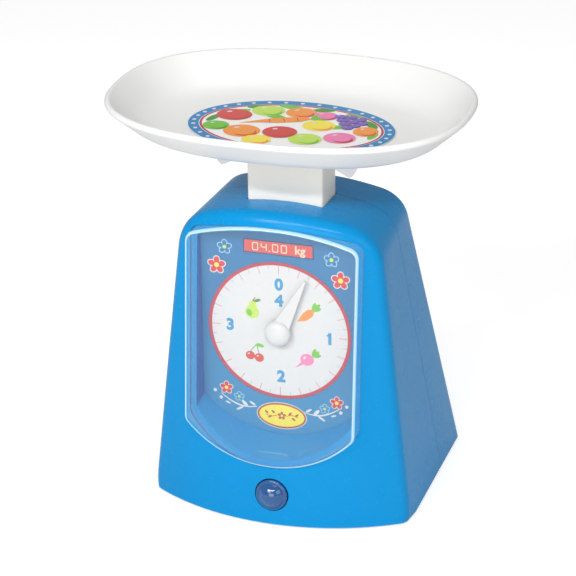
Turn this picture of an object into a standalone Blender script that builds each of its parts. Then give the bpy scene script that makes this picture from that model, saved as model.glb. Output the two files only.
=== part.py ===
"""Toy kitchen balance scale: a bowed blue plastic housing with a clear window over a round dial,
a white oval weighing pan on a sprung post, and a rack and gear train that turns the pointer.

The model stands on z = 0 with its base centred on the origin. X runs to the right as the dial is
read, Y runs from the dial to the back, Z is up. Sizes are written in millimetres times MM.
"""
import math

import bmesh
import bpy
from mathutils import Matrix, Vector

MM = 0.001

# Clearances shared by every pair of neighbours
GAP = 0.3 * MM
RUN_GAP = 0.3 * MM
SLOT_GAP = 0.5 * MM

# Cutters run past the face they cut, and joined shapes run into their neighbour, by the overrun;
# the reach is more than the whole object's half size
OVERRUN = 1.0 * MM
REACH = 200.0 * MM

# Housing, seen from the front: tapered sides under an arched top with round shoulders. The rear is
# a little lower and narrower at the top, and the front's lower corners are eased inwards.
FOOT_HEIGHT = 1.1 * MM
FOOT_RADIUS = 6.0 * MM
HOUSING_BOTTOM = 1.0 * MM
HOUSING_HALF_WIDTH = 70.1 * MM
SIDE_TAPER = 0.112
HOUSING_APEX = 167.5 * MM
ARCH_RADIUS = 130.0 * MM
SHOULDER_RADIUS = 26.0 * MM
REAR_NARROWING = 0.025
REAR_DROP = 3.0 * MM
REAR_ARCH_RADIUS = 143.0 * MM
REAR_SHOULDER_RADIUS = 18.0 * MM
CORNER_HEIGHT = 9.0 * MM
CORNER_REACH = 1.2 * MM
CORNER_FADE = 9.0 * MM
WALL = 2.4 * MM

# Housing, seen from the side: bowed front and flat back both lean towards the pan's axis
FRONT_DEPTH = 47.8 * MM
FRONT_LEAN = 0.085
BOW_RADIUS = 122.0 * MM
REAR_DEPTH = 77.7 * MM
REAR_LEAN = 0.251
FRONT_EDGE_RADIUS = 7.0 * MM
REAR_EDGE_RADIUS = 3.8 * MM
SEAM_DEPTH = 38.6 * MM
SEAM_LEAN = 0.173
SEAM_GAP = 0.3 * MM

# Clear window cap and the well behind it
WINDOW_HALF_WIDTH = 45.5 * MM
WINDOW_LOW = 32.0 * MM
WINDOW_LOW_RADIUS = 60.0 * MM
WINDOW_HIGH = 160.2 * MM
WINDOW_HIGH_RADIUS = 152.0 * MM
WINDOW_CORNER = 6.0 * MM
WINDOW_PROUD = 0.8 * MM
WINDOW_PLATE = 1.5 * MM
WINDOW_WALL = 1.4 * MM
WINDOW_SEAT = 1.2 * MM
TAB_WIDTH = 16.0 * MM
TAB_HEIGHT = 3.5 * MM
TAB_LIFT = 1.9 * MM
TAB_DEPTH = 2.3 * MM
TAB_OFFSET = 1.9 * MM
WELL_INSET = 2.5 * MM
WELL_WALL = 1.8 * MM
WELL_REAR_HALF_WIDTH = 41.5 * MM
WELL_REAR_LOW = 41.0 * MM
WELL_REAR_HIGH = 156.0 * MM
WELL_OVERRUN = 0.05

# Dial card and pointer
CARD_DEPTH = 23.15 * MM
CARD_THICKNESS = 1.0 * MM
CARD_MARGIN = 1.0 * MM
CARD_HOLE_RADIUS = 2.2 * MM
DIAL_HEIGHT = 99.5 * MM
POINTER_REST_DEG = 26.0
POINTER_LENGTH = 34.0 * MM
POINTER_ROOT_WIDTH = 10.0 * MM
POINTER_TIP_WIDTH = 1.2 * MM
POINTER_THICKNESS = 1.2 * MM
POINTER_STANDOFF = 1.9 * MM
SOCKET_DEPTH = 2.8 * MM
BLADE_LIFT = 0.4 * MM
HUB_RADIUS = 6.8 * MM
HUB_HEIGHT = 5.2 * MM
HUB_EDGE = 2.2 * MM

# Gear train: rack, small pinion and wheel on one idler, pointer pinion
MODULE = 0.8 * MM
PRESSURE_ANGLE = math.radians(25.0)
ADDENDUM = 0.75
DEDENDUM = 1.0
TOOTH_THINNING = 0.16 * MM
RACK_PINION_TEETH = 10
WHEEL_TEETH = 30
POINTER_PINION_TEETH = 12
MESH_DIRECTION = math.radians(225.0)
RACK_TEETH = 8
RACK_FIRST_TOOTH = -2
WHEEL_WIDTH = 3.0 * MM
WHEEL_SETBACK = 2.9 * MM
POINTER_PINION_WIDTH = 4.0 * MM
SHAFT_RADIUS = 1.5 * MM
IDLER_HUB_RADIUS = 3.0 * MM

# Movement plate behind the card and the bridge that closes the gear train
PLATE_THICKNESS = 2.0 * MM
PLATE_HALF_WIDTH = 52.0 * MM
PLATE_LOW = 64.0 * MM
PLATE_HIGH = 128.0 * MM
PLATE_BOSS_X = 49.0 * MM
PLATE_BOSS_HEIGHTS = (70.0 * MM, 122.0 * MM)
PLATE_BOSS_RADIUS = 3.0 * MM
BRIDGE_DEPTH = 5.9 * MM
BRIDGE_THICKNESS = 1.6 * MM
BRIDGE_LEFT = 30.5 * MM
BRIDGE_RIGHT = 13.5 * MM
BRIDGE_BELOW = 27.5 * MM
BRIDGE_ABOVE = 9.5 * MM
PILLAR_RADIUS = 2.6 * MM
PILLARS = ((10.0 * MM, 6.0 * MM), (-27.0 * MM, 3.0 * MM), (7.0 * MM, -24.0 * MM))

# Post that carries the pan
POST_HALF_WIDTH = 19.8 * MM
POST_HALF_DEPTH = 11.7 * MM
POST_WALL = 1.8 * MM
POST_CORNER = 1.6 * MM
POST_SLOT_DEPTH = 14.0 * MM
POST_BOTTOM = 124.0 * MM
POST_WEB_DEPTH = 13.0 * MM
POST_WEB = 2.4 * MM
STEM_RADIUS = 3.0 * MM
COLLAR_CLEARANCE = 6.0 * MM
COLLAR_RADIUS = 7.5 * MM
COLLAR_HEIGHT = 2.0 * MM
GUIDE_RADIUS = 2.4 * MM
GUIDE_LENGTH = 20.0 * MM
STOP_REACH = 2.5 * MM
STOP_HALF_DEPTH = 5.0 * MM
STOP_HEIGHT = 5.0 * MM
RACK_DEPTH = 6.6 * MM
RACK_THICKNESS = 3.0 * MM
RACK_SCREW_DROPS = (28.0 * MM, 14.0 * MM)
RACK_SCREW_INSET = 3.0 * MM
RACK_EDGE = 3.5 * MM
RACK_HEADROOM = 6.0 * MM
RACK_END = 1.5 * MM
RACK_SHOULDER = 8.0 * MM
RACK_STEP = 2.0 * MM
RACK_BACK = 3.0 * MM
RACK_SCREW_BITE = 0.6 * MM

# Pan
PAN_HALF_LENGTH = 92.7 * MM
PAN_HALF_DEPTH = 70.0 * MM
PAN_EXPONENT = 2.45
PAN_RIM_HEIGHT = 218.4 * MM
PAN_INNER_DEPTH = 17.1 * MM
PAN_WALL = 2.0 * MM
PAN_FLARE = math.radians(45.0)
PAN_FILLET = 24.0 * MM
PAN_LIP = 1.4 * MM
PAN_SEGMENTS = 48
PAN_FILLET_STEPS = 4
SOCKET_HEIGHT = 9.0 * MM
SOCKET_WALL = 1.6 * MM
PAN_BOSS_X = 10.0 * MM
PAN_BOSS_RADIUS = 3.4 * MM
RIB_THICKNESS = 3.0 * MM
RIB_OFFSET = 9.0 * MM
RIB_TIP_X = 34.0 * MM
RIB_TIP_DROP = 18.5 * MM
RIB_ROOT_DROP = 10.5 * MM
RIB_OUTER_X = 47.5 * MM
LABEL_HALF_LENGTH = 53.4 * MM
LABEL_HALF_DEPTH = 36.8 * MM
LABEL_THICKNESS = 0.3 * MM
LABEL_SEGMENTS = 48

# Main spring on its tower
SPRING_MEAN_RADIUS = 6.2 * MM
SPRING_WIRE_RADIUS = 0.6 * MM
SPRING_TURNS = 7
TOWER_RADIUS = 4.6 * MM
TOWER_CLEARANCE = 2.7 * MM
TOWER_SEAT_RADIUS = 8.4 * MM
TOWER_SEAT_HEIGHT = 5.0 * MM

# Lamp button low on the front face, with its lamp, switch and board
BUTTON_X = 2.0 * MM
BUTTON_HEIGHT = 17.3 * MM
BUTTON_RADIUS = 8.5 * MM
BUTTON_DOME = 5.2 * MM
BUTTON_WALL = 1.6 * MM
BUTTON_FLANGE = 10.5 * MM
BUTTON_FLANGE_THICKNESS = 1.4 * MM
BUTTON_SEAT_GAP = 1.0 * MM
BUTTON_TRAVEL = 1.2 * MM
LAMP_RADIUS = 2.5 * MM
LAMP_LENGTH = 8.2 * MM
LAMP_BRIM = 1.2
LAMP_BRIM_HEIGHT = 1.0 * MM
BOARD_DROP = 10.4 * MM
BOARD_THICKNESS = 1.2 * MM
BOARD_HALF_WIDTH = 17.0 * MM
BOARD_BELOW = 9.0 * MM
BOARD_ABOVE = 13.0 * MM
BOARD_BOSS_X = 13.8 * MM
BOARD_BOSS_RADIUS = 2.4 * MM
SWITCH_SIDE = 6.0 * MM
SWITCH_BODY = 2.8 * MM
SWITCH_PLUNGER_RADIUS = 1.6 * MM

# Base plate with the battery box
BASE_RISE = 0.4 * MM
BASE_THICKNESS = 3.2 * MM
CELL_RADIUS = 7.1 * MM
CELL_LENGTH = 50.5 * MM
CELL_NUB_RADIUS = 2.6 * MM
CELL_NUB_LENGTH = 1.0 * MM
CELL_EDGE = 1.0 * MM
CELL_PITCH = 15.0 * MM
CELL_ROW_DEPTH = 40.8 * MM
BOX_WALL = 1.6 * MM
CONTACT_THICKNESS = 0.5 * MM
CONTACT_HALF_SIDE = 4.5 * MM
DOOR_THICKNESS = 2.0 * MM
DOOR_MARGIN = 2.4 * MM
DOOR_TONGUE = 8.0 * MM
DOOR_BOSS_RADIUS = 4.4 * MM
DOOR_BOSS_HEIGHT = 11.0 * MM
FOOT_X = 54.0 * MM
FOOT_DEPTHS = (-22.0 * MM, 62.0 * MM)

# Screws: head radius, head height, shank radius
SCREW_HEAD_RADIUS = 2.8 * MM
SCREW_HEAD_HEIGHT = 1.6 * MM
SCREW_RADIUS = 1.3 * MM
SMALL_HEAD_RADIUS = 2.2 * MM
SMALL_HEAD_HEIGHT = 1.2 * MM
SMALL_RADIUS = 0.9 * MM
BASE_SCREW_X = 63.0 * MM
BASE_SCREW_DEPTHS = (-4.0 * MM, 58.0 * MM)
BASE_BOSS_RADIUS = 4.0 * MM
BASE_BOSS_HEIGHT = 13.0 * MM
BASE_CUP_RADIUS = 3.6 * MM
SHELL_BOSS_RADIUS = 3.3 * MM
TUBE_RADIUS = 4.5 * MM
SHELL_BOSSES = ((55.0 * MM, 24.0 * MM, 20.0 * MM), (46.2 * MM, PLATE_HIGH + 4.4 * MM, 5.0 * MM))
BOSS_ROOT = 1.8 * MM
SCREW_WEB = 2.0 * MM
SHELL_SCREW_LENGTH = 14.0 * MM
BASE_SCREW_LENGTH = 12.0 * MM
PAN_SCREW_LENGTH = 10.0 * MM
DOOR_SCREW_LENGTH = 7.0 * MM
DOOR_SCREW_HEAD = 0.8 * MM
DOOR_SCREW_SINK = 1.2 * MM
BRIDGE_SCREW_LENGTH = 9.0 * MM
SHORT_SCREW_LENGTH = 5.0 * MM
PLATE_PILOT_DEPTH = 3.0 * MM

# Wire leads between the battery box and the board: how far each runs beside the board and the box
LEAD_RADIUS = 0.7 * MM
RED_LEAD_X = (9.0 * MM, 16.0 * MM)
BLACK_LEAD_X = (-6.0 * MM, -14.0 * MM)
LEAD_BOARD_HEIGHT = 12.0 * MM
LEAD_BOX_HEIGHT = 11.0 * MM
LEAD_LOW_HEIGHT = 7.2 * MM
LEAD_LOW_RANGE = (-12.0 * MM, 4.0 * MM)
LEAD_BOARD_REACH = 6.0 * MM
LEAD_BOX_REACH = 7.0 * MM
LEAD_TAIL = 1.6 * MM

# Sizes that follow from the ones above
REAR_APEX = HOUSING_APEX - REAR_DROP
REAR_REACH = REAR_DEPTH - REAR_LEAN * HOUSING_BOTTOM
AXIS_Y = (PAN_HALF_DEPTH - REAR_REACH) / 2
WINDOW_FACE = FRONT_DEPTH + WINDOW_PROUD
RACK_PINION_RADIUS = MODULE * RACK_PINION_TEETH / 2
WHEEL_RADIUS = MODULE * WHEEL_TEETH / 2
POINTER_PINION_RADIUS = MODULE * POINTER_PINION_TEETH / 2
CENTRE_DISTANCE = WHEEL_RADIUS + POINTER_PINION_RADIUS
IDLER_X = CENTRE_DISTANCE * math.cos(MESH_DIRECTION)
IDLER_Z = DIAL_HEIGHT + CENTRE_DISTANCE * math.sin(MESH_DIRECTION)
RACK_LINE_X = IDLER_X - RACK_PINION_RADIUS
GEAR_RATIO = WHEEL_TEETH / POINTER_PINION_TEETH
POINTER_TRAVEL = math.radians(360.0 - POINTER_REST_DEG)
PAN_TRAVEL = POINTER_TRAVEL / GEAR_RATIO * RACK_PINION_RADIUS
CARD_BACK = CARD_DEPTH - CARD_THICKNESS
PLATE_FRONT = CARD_BACK - GAP
PLATE_BACK = PLATE_FRONT - PLATE_THICKNESS
BRIDGE_BACK = BRIDGE_DEPTH - BRIDGE_THICKNESS
PAN_FLOOR = PAN_RIM_HEIGHT - PAN_INNER_DEPTH
PAN_UNDERSIDE = PAN_FLOOR - PAN_WALL
POST_TOP = PAN_UNDERSIDE - GAP
POST_WEB_TOP = POST_TOP - POST_WEB_DEPTH
PAN_RUN = (PAN_INNER_DEPTH + PAN_WALL - PAN_LIP) / math.tan(PAN_FLARE)
PAN_FILLET_REACH = PAN_FILLET * math.tan(PAN_FLARE / 2)
STEM_BOTTOM = DIAL_HEIGHT - BRIDGE_BELOW - COLLAR_CLEARANCE - COLLAR_HEIGHT
TOWER_TOP = STEM_BOTTOM - PAN_TRAVEL - TOWER_CLEARANCE
BASE_BOTTOM = HOUSING_BOTTOM + BASE_RISE
BASE_TOP = BASE_BOTTOM + BASE_THICKNESS
DOOR_TOP = BASE_BOTTOM + DOOR_THICKNESS
CELL_Z = DOOR_TOP + GAP + CELL_RADIUS
BOX_HALF_LENGTH = CELL_LENGTH / 2 + GAP + CONTACT_THICKNESS + GAP
BOX_HALF_DEPTH = CELL_PITCH / 2 + CELL_RADIUS + GAP
BOX_CEILING = CELL_Z + CELL_RADIUS + GAP
TOWER_SEAT_TOP = BASE_TOP + TOWER_SEAT_HEIGHT
BASE_WEB_BOTTOM = BASE_BOTTOM + GAP + SMALL_HEAD_HEIGHT + GAP
BASE_CUP_TOP = BASE_WEB_BOTTOM + SCREW_WEB

# Facet counts
ARCH_STEPS = 4
SHOULDER_STEPS = 4
SIDE_STEPS = 2
CORNER_STEPS = 3
FRONT_EDGE_STEPS = 3
REAR_EDGE_STEPS = 2
ROUND_SEGMENTS = 14
SCREW_SEGMENTS = 8
PILOT_SEGMENTS = 12
SMALL_PILOT_SEGMENTS = 10
HUB_SEGMENTS = 24
BUTTON_SEGMENTS = 28


def clear_scene():
    for old in list(bpy.data.objects):
        bpy.data.objects.remove(old, do_unlink=True)


def make_collection(name):
    collection = bpy.data.collections.new(name)
    bpy.context.scene.collection.children.link(collection)
    return collection


def material(name, colour, roughness, metallic=0.0, alpha=1.0, transmission=0.0):
    made = bpy.data.materials.new(name)
    made.use_nodes = True
    shader = made.node_tree.nodes["Principled BSDF"]
    shader.inputs["Base Color"].default_value = (*colour, 1.0)
    shader.inputs["Roughness"].default_value = roughness
    shader.inputs["Metallic"].default_value = metallic
    shader.inputs["Alpha"].default_value = alpha
    shader.inputs["Transmission Weight"].default_value = transmission
    made.diffuse_color = (*colour, alpha)
    return made


clear_scene()
PARTS = make_collection("toy_balance_scale")
CUTTERS = make_collection("cutters")

BLUE = material("blue_plastic", (0.015, 0.33, 0.74), 0.28)
CLEAR = material("clear_plastic", (0.85, 0.95, 1.0), 0.08, alpha=0.35, transmission=0.9)
CARD = material("printed_card", (0.05, 0.24, 0.52), 0.45)
WHITE = material("white_plastic", (0.86, 0.86, 0.85), 0.3)
IVORY = material("ivory_acetal", (0.78, 0.75, 0.66), 0.4)
GREY = material("grey_plastic", (0.35, 0.36, 0.38), 0.5)
PRINT = material("printed_label", (0.85, 0.75, 0.6), 0.35)
STEEL = material("plated_steel", (0.62, 0.62, 0.6), 0.3, metallic=1.0)
LENS = material("navy_lens", (0.01, 0.06, 0.22), 0.12, transmission=0.5)
LAMP = material("lamp_epoxy", (0.75, 0.8, 0.85), 0.1, transmission=0.6)
BOARD = material("board_green", (0.03, 0.22, 0.09), 0.5)
BLACK = material("black_plastic", (0.03, 0.03, 0.03), 0.5)
RUBBER = material("foot_rubber", (0.05, 0.05, 0.055), 0.8)
CELL = material("cell_jacket", (0.55, 0.5, 0.12), 0.35)
RED_WIRE = material("red_insulation", (0.6, 0.03, 0.02), 0.45)
BLACK_WIRE = material("black_insulation", (0.02, 0.02, 0.02), 0.45)

frame_empty = bpy.data.objects.new("pan_axis", None)
frame_empty.location = (0.0, AXIS_Y, 0.0)
PARTS.objects.link(frame_empty)


def axis_empty(name, location, rotation=(0.0, 0.0, 0.0)):
    """An empty on a joint's axis, in the frame of the pan's axis."""
    empty = bpy.data.objects.new(name, None)
    empty.location = location
    empty.rotation_euler = rotation
    empty.parent = frame_empty
    PARTS.objects.link(empty)
    return empty


def place(name, data, finish, parent=None, collection=None):
    thing = bpy.data.objects.new(name, data)
    thing.parent = parent or frame_empty
    if finish is not None:
        data.materials.append(finish)
    (collection or PARTS).objects.link(thing)
    return thing


def to_object(name, bm, finish=None, parent=None, collection=None, smooth=35.0):
    mesh = bpy.data.meshes.new(name)
    bmesh.ops.recalc_face_normals(bm, faces=bm.faces)
    bm.to_mesh(mesh)
    bm.free()
    thing = place(name, mesh, finish, parent, collection)
    mesh.shade_smooth()
    mesh.set_sharp_from_angle(angle=math.radians(smooth))
    return thing


def cutter(name, bm, parent=None):
    """A closed helper solid that only cuts or joins another piece."""
    thing = to_object(name, bm, None, parent, CUTTERS)
    thing.hide_render = True
    thing.display_type = "WIRE"
    return thing


def combine(target, operation, helper):
    modifier = target.modifiers.new(f"{operation.lower()}_{helper.name}", "BOOLEAN")
    modifier.operation = operation
    modifier.object = helper
    modifier.solver = "EXACT"


def add_box(bm, low, high):
    size = Vector(high) - Vector(low)
    middle = (Vector(high) + Vector(low)) / 2
    matrix = Matrix.Translation(middle) @ Matrix.Diagonal((*size, 1.0))
    bmesh.ops.create_cube(bm, size=1.0, matrix=matrix)


TURN = {
    "X": Matrix.Rotation(math.radians(90.0), 4, "Y"),
    "Y": Matrix.Rotation(math.radians(-90.0), 4, "X"),
    "Z": Matrix.Identity(4),
}


def add_rod(bm, radius, start, length, axis="Y", segments=ROUND_SEGMENTS):
    """A cylinder that starts at a point and runs along +X, +Y or +Z."""
    matrix = Matrix.Translation(Vector(start)) @ TURN[axis] @ Matrix.Translation((0, 0, length / 2))
    bmesh.ops.create_cone(bm, cap_ends=True, segments=segments, radius1=radius, radius2=radius,
                          depth=length, matrix=matrix)


def add_turned(bm, profile, segments, matrix=None):
    """Spin a profile of (radius, height) points about Z and drop it in place."""
    made = bmesh.new()
    verts = [made.verts.new((radius, 0.0, height)) for radius, height in profile]
    edges = [made.edges.new(pair) for pair in zip(verts, verts[1:])]
    bmesh.ops.spin(made, geom=verts + edges, cent=(0, 0, 0), axis=(0, 0, 1), angle=2 * math.pi,
                   steps=segments, use_merge=True)
    bmesh.ops.remove_doubles(made, verts=made.verts, dist=0.001 * MM)
    bmesh.ops.recalc_face_normals(made, faces=made.faces)
    if matrix is not None:
        made.transform(matrix)
    scratch = bpy.data.meshes.new("turned")
    made.to_mesh(scratch)
    made.free()
    bm.from_mesh(scratch)
    bpy.data.meshes.remove(scratch)


def place_copies(name, bm, finish, places, rotation=(0.0, 0.0, 0.0), parent=None):
    """Copies of one mesh, numbered from 1, one at each place."""
    mesh = bpy.data.meshes.new(name)
    bmesh.ops.recalc_face_normals(bm, faces=bm.faces)
    bm.to_mesh(mesh)
    bm.free()
    mesh.materials.append(finish)
    mesh.shade_smooth()
    mesh.set_sharp_from_angle(angle=math.radians(35.0))
    copies = []
    for number, location in enumerate(places, 1):
        thing = place(f"{name}_{number}", mesh, None, parent)
        thing.location = location
        thing.rotation_euler = rotation
        copies.append(thing)
    return copies


def place_screws(name, head_radius, head_height, shank_radius, length, seats, rotation,
                 parent=None):
    """Pan-head screws: the head sits on its seat and the shank runs along the turned +Z."""
    profile = [(0.0, -head_height), (head_radius, -head_height / 2), (head_radius, 0.0),
               (shank_radius, 0.0), (shank_radius, length - shank_radius), (0.0, length)]
    bm = bmesh.new()
    add_turned(bm, profile, SCREW_SEGMENTS)
    return place_copies(name, bm, STEEL, seats, rotation, parent)


TO_FRONT = Matrix.Rotation(math.radians(90.0), 4, "X")
FORWARDS = (math.radians(90.0), 0.0, 0.0)
UPWARDS = (0.0, 0.0, 0.0)


def prism(points, near, far):
    """Close a flat outline of (x, z) points into a solid between two mapping functions."""
    bm = bmesh.new()
    face = bm.faces.new([bm.verts.new((x, 0.0, z)) for x, z in points])
    grown = bmesh.ops.extrude_face_region(bm, geom=[face])["geom"]
    grown = [item for item in grown if isinstance(item, bmesh.types.BMVert)]
    first = [vert for vert in bm.verts if vert not in set(grown)]
    for vert in first:
        vert.co = near(vert.co.x, vert.co.z)
    for vert in grown:
        vert.co = far(vert.co.x, vert.co.z)
    bmesh.ops.recalc_face_normals(bm, faces=bm.faces)
    return bm


def flat_prism(points, y_near, y_far):
    return prism(points, lambda x, z: Vector((x, y_near, z)), lambda x, z: Vector((x, y_far, z)))


# The housing's outline and surfaces

HALF_STEPS = ARCH_STEPS + SHOULDER_STEPS + SIDE_STEPS + CORNER_STEPS
SIDE_END = ARCH_STEPS + SHOULDER_STEPS + SIDE_STEPS


class Outline:
    """The housing's outline, seen from the front: arched top, round shoulders and tapered sides."""

    def __init__(self, apex, arch_radius, shoulder_radius, taper):
        self.arch_radius = arch_radius
        self.shoulder_radius = shoulder_radius
        self.side_angle = math.atan(taper)
        self.side_normal = Vector((math.cos(self.side_angle), math.sin(self.side_angle)))
        side_direction = Vector((-math.sin(self.side_angle), math.cos(self.side_angle)))
        self.side_offset = Vector((HOUSING_HALF_WIDTH, HOUSING_BOTTOM)).dot(self.side_normal)
        self.arch_centre = Vector((0.0, apex - arch_radius))
        reach = self.side_offset - shoulder_radius
        across = reach - self.arch_centre.dot(self.side_normal)
        above = math.sqrt((arch_radius - shoulder_radius) ** 2 - across ** 2)
        along = self.arch_centre.dot(side_direction) + above
        self.shoulder = self.side_normal * reach + side_direction * along
        ray = self.shoulder - self.arch_centre
        self.shoulder_angle = math.atan2(ray.y, ray.x)

    def side_point(self, height, inset):
        across = (self.side_offset - inset - height * self.side_normal.y) / self.side_normal.x
        return Vector((across, height))

    def half(self, step, inset, bottom):
        """Point and outward normal of the right half, from the apex down to the base."""
        if step <= ARCH_STEPS:
            angle = math.pi / 2 + (self.shoulder_angle - math.pi / 2) * step / ARCH_STEPS
            normal = Vector((math.cos(angle), math.sin(angle)))
            return self.arch_centre + normal * (self.arch_radius - inset), normal
        if step <= ARCH_STEPS + SHOULDER_STEPS:
            share = (step - ARCH_STEPS) / SHOULDER_STEPS
            angle = self.shoulder_angle + (self.side_angle - self.shoulder_angle) * share
            normal = Vector((math.cos(angle), math.sin(angle)))
            return self.shoulder + normal * (self.shoulder_radius - inset), normal
        corner_top = HOUSING_BOTTOM + CORNER_HEIGHT
        if step <= SIDE_END:
            top = self.shoulder + self.side_normal * (self.shoulder_radius - inset)
            share = (step - ARCH_STEPS - SHOULDER_STEPS) / SIDE_STEPS
            return top.lerp(self.side_point(corner_top, inset), share), self.side_normal.copy()
        share = (step - SIDE_END) / CORNER_STEPS
        height = bottom if step == HALF_STEPS else corner_top - CORNER_HEIGHT * share
        return self.side_point(height, inset), self.side_normal.copy()

    def point(self, index, inset, bottom):
        """The whole outline, from the left foot over the top to the right foot."""
        point, normal = self.half(abs(index - HALF_STEPS), inset, bottom)
        if index < HALF_STEPS:
            point.x, normal.x = -point.x, -normal.x
        return point, normal


OUTLINES = {
    "front": Outline(HOUSING_APEX, ARCH_RADIUS, SHOULDER_RADIUS, SIDE_TAPER),
    "rear": Outline(REAR_APEX, REAR_ARCH_RADIUS, REAR_SHOULDER_RADIUS, SIDE_TAPER + REAR_NARROWING),
}


def corner_easing(index):
    """How far the front's lower corner is drawn in at a step of the outline."""
    share = max(abs(index - HALF_STEPS) - SIDE_END, 0) / CORNER_STEPS
    return CORNER_REACH * share ** 2


def front_y(x, z, offset=0.0):
    """The bowed front face, which leans back as it rises."""
    bow = BOW_RADIUS - math.sqrt(BOW_RADIUS ** 2 - x ** 2)
    return -FRONT_DEPTH + FRONT_LEAN * z + bow + offset


def rear_y(z, offset=0.0):
    return REAR_DEPTH - REAR_LEAN * z - offset


def edge_ring(side, share, inset, bottom):
    """One ring of the rounded front or rear edge: share 0 on the side, 1 on the face."""
    outline = OUTLINES[side]
    ring = []
    for index in range(2 * HALF_STEPS + 1):
        point, normal = outline.point(index, inset, bottom)
        if side == "front":
            radius = FRONT_EDGE_RADIUS - inset
            slope_x = point.x / math.sqrt(BOW_RADIUS ** 2 - point.x ** 2)
            tilt = math.atan(slope_x * normal.x + FRONT_LEAN * normal.y)
            eased = inset + corner_easing(index)
        else:
            radius = REAR_EDGE_RADIUS - inset * 0.5
            tilt = math.atan(REAR_LEAN * normal.y)
            eased = inset
        last = math.pi / 2 - tilt
        turn = last * share
        end, _ = outline.point(index, eased + radius * (1 - math.cos(last)), bottom)
        here, _ = outline.point(index, eased + radius * (1 - math.cos(turn)), bottom)
        if side == "front":
            y = front_y(end.x, end.y, inset) + radius * (math.sin(last) - math.sin(turn))
        else:
            y = rear_y(end.y, inset) - radius * (math.sin(last) - math.sin(turn))
        ring.append(Vector((here.x, y, here.y)))
    return ring


def faded_ring(inset, bottom):
    """A ring on the side walls, behind the front's rounding, where the corners' easing has ended."""
    front, rear = edge_ring("front", 0.0, inset, bottom), edge_ring("rear", 0.0, inset, bottom)
    ring = []
    for index, (near, far) in enumerate(zip(front, rear)):
        outer, _ = OUTLINES["front"].point(index, inset, bottom)
        start = Vector((outer.x, near.y, outer.y))
        ring.append(start.lerp(far, CORNER_FADE / (far.y - near.y)))
    return ring


def add_face_patch(bm, ring, surface):
    """Fill a face inside a ring with a grid that follows the face's own surface."""
    rise = CORNER_STEPS + SIDE_STEPS + SHOULDER_STEPS // 2
    span = 2 * (ARCH_STEPS + SHOULDER_STEPS // 2)
    made = bmesh.ops.create_grid(bm, x_segments=span, y_segments=rise, size=1.0)["verts"]
    lowest = [ring[0], ring[-1]]
    corners = [ring[rise], ring[rise + span]]
    for vert in made:
        u, v = (vert.co.x + 1) / 2, (vert.co.y + 1) / 2
        column, row = round(u * span), round(v * rise)
        left, right = ring[row], ring[len(ring) - 1 - row]
        top, foot = ring[rise + column], lowest[0].lerp(lowest[1], u)
        blend = foot.lerp(top, v) + left.lerp(right, u)
        blend -= lowest[0].lerp(lowest[1], u).lerp(corners[0].lerp(corners[1], u), v)
        vert.co = (blend.x, surface(blend.x, blend.z), blend.z)


def extend_ring(bm, ring, positions):
    edges = [bm.edges.get(pair) for pair in zip(ring, ring[1:])]
    grown = bmesh.ops.extrude_edge_only(bm, edges=edges)["geom"]
    fresh = {item for item in grown if isinstance(item, bmesh.types.BMVert)}
    result = []
    for vert, position in zip(ring, positions):
        twin = next(edge.other_vert(vert) for edge in vert.link_edges
                    if edge.other_vert(vert) in fresh)
        twin.co = position
        result.append(twin)
    return result


def housing_solid(inset=0.0, bottom=HOUSING_BOTTOM):
    """The housing's closed outer form, moved inwards by an inset, down to a flat bottom."""
    bm = bmesh.new()
    face_ring = edge_ring("front", 1.0, inset, bottom)
    ring = [bm.verts.new(position) for position in face_ring]
    for pair in zip(ring, ring[1:]):
        bm.edges.new(pair)
    for step in range(FRONT_EDGE_STEPS - 1, -1, -1):
        ring = extend_ring(bm, ring, edge_ring("front", step / FRONT_EDGE_STEPS, inset, bottom))
    ring = extend_ring(bm, ring, faded_ring(inset, bottom))
    for step in range(REAR_EDGE_STEPS + 1):
        ring = extend_ring(bm, ring, edge_ring("rear", step / REAR_EDGE_STEPS, inset, bottom))
    rear_ring = edge_ring("rear", 1.0, inset, bottom)
    add_face_patch(bm, face_ring, lambda x, z: front_y(x, z, inset))
    add_face_patch(bm, rear_ring, lambda x, z: rear_y(z, inset))
    bmesh.ops.remove_doubles(bm, verts=bm.verts, dist=0.01 * MM)
    rim = [edge for edge in bm.edges if edge.is_boundary]
    bmesh.ops.holes_fill(bm, edges=rim, sides=0)
    bmesh.ops.recalc_face_normals(bm, faces=bm.faces)
    return bm


def seam_half(keep_front):
    """A big box on one side of the leaning seam, which takes the other half of the housing away."""
    size = 2 * REACH
    shift = (size - SEAM_GAP) / 2 * (1 if keep_front else -1)
    bm = bmesh.new()
    bmesh.ops.create_cube(bm, size=size, matrix=Matrix.Translation((0, shift, 0)))
    lean = Matrix.Rotation(math.atan(SEAM_LEAN), 4, "X")
    bm.transform(Matrix.Translation((0, SEAM_DEPTH, 0)) @ lean)
    return bm


# The window's outline, its well and its seat on the bowed face

def arched_outline(half_width, low, low_radius, high, high_radius, corner, arc_steps=6,
                   corner_steps=3):
    """Upright sides between a curved lower edge and a gently arched upper edge."""
    quarter = []
    for apex, radius, way in ((low, low_radius, -1), (high, high_radius, 1)):
        centre_z = apex - way * radius
        corner_x = half_width - corner
        corner_z = centre_z + way * math.sqrt((radius - corner) ** 2 - corner_x ** 2)
        last = math.atan2(corner_x, abs(corner_z - centre_z))
        turns = [last * (2 * k + 1) / (2 * arc_steps - 1) for k in range(arc_steps)]
        arc = [(radius * math.sin(turn), centre_z + way * radius * math.cos(turn)) for turn in turns]
        for k in range(1, corner_steps + 1):
            turn = last + (math.pi / 2 - last) * k / corner_steps
            arc.append((corner_x + corner * math.sin(turn), corner_z + way * corner * math.cos(turn)))
        quarter.append(arc)
    right = quarter[0] + quarter[1][::-1]
    return right + [(-x, z) for x, z in reversed(right)]


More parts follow.
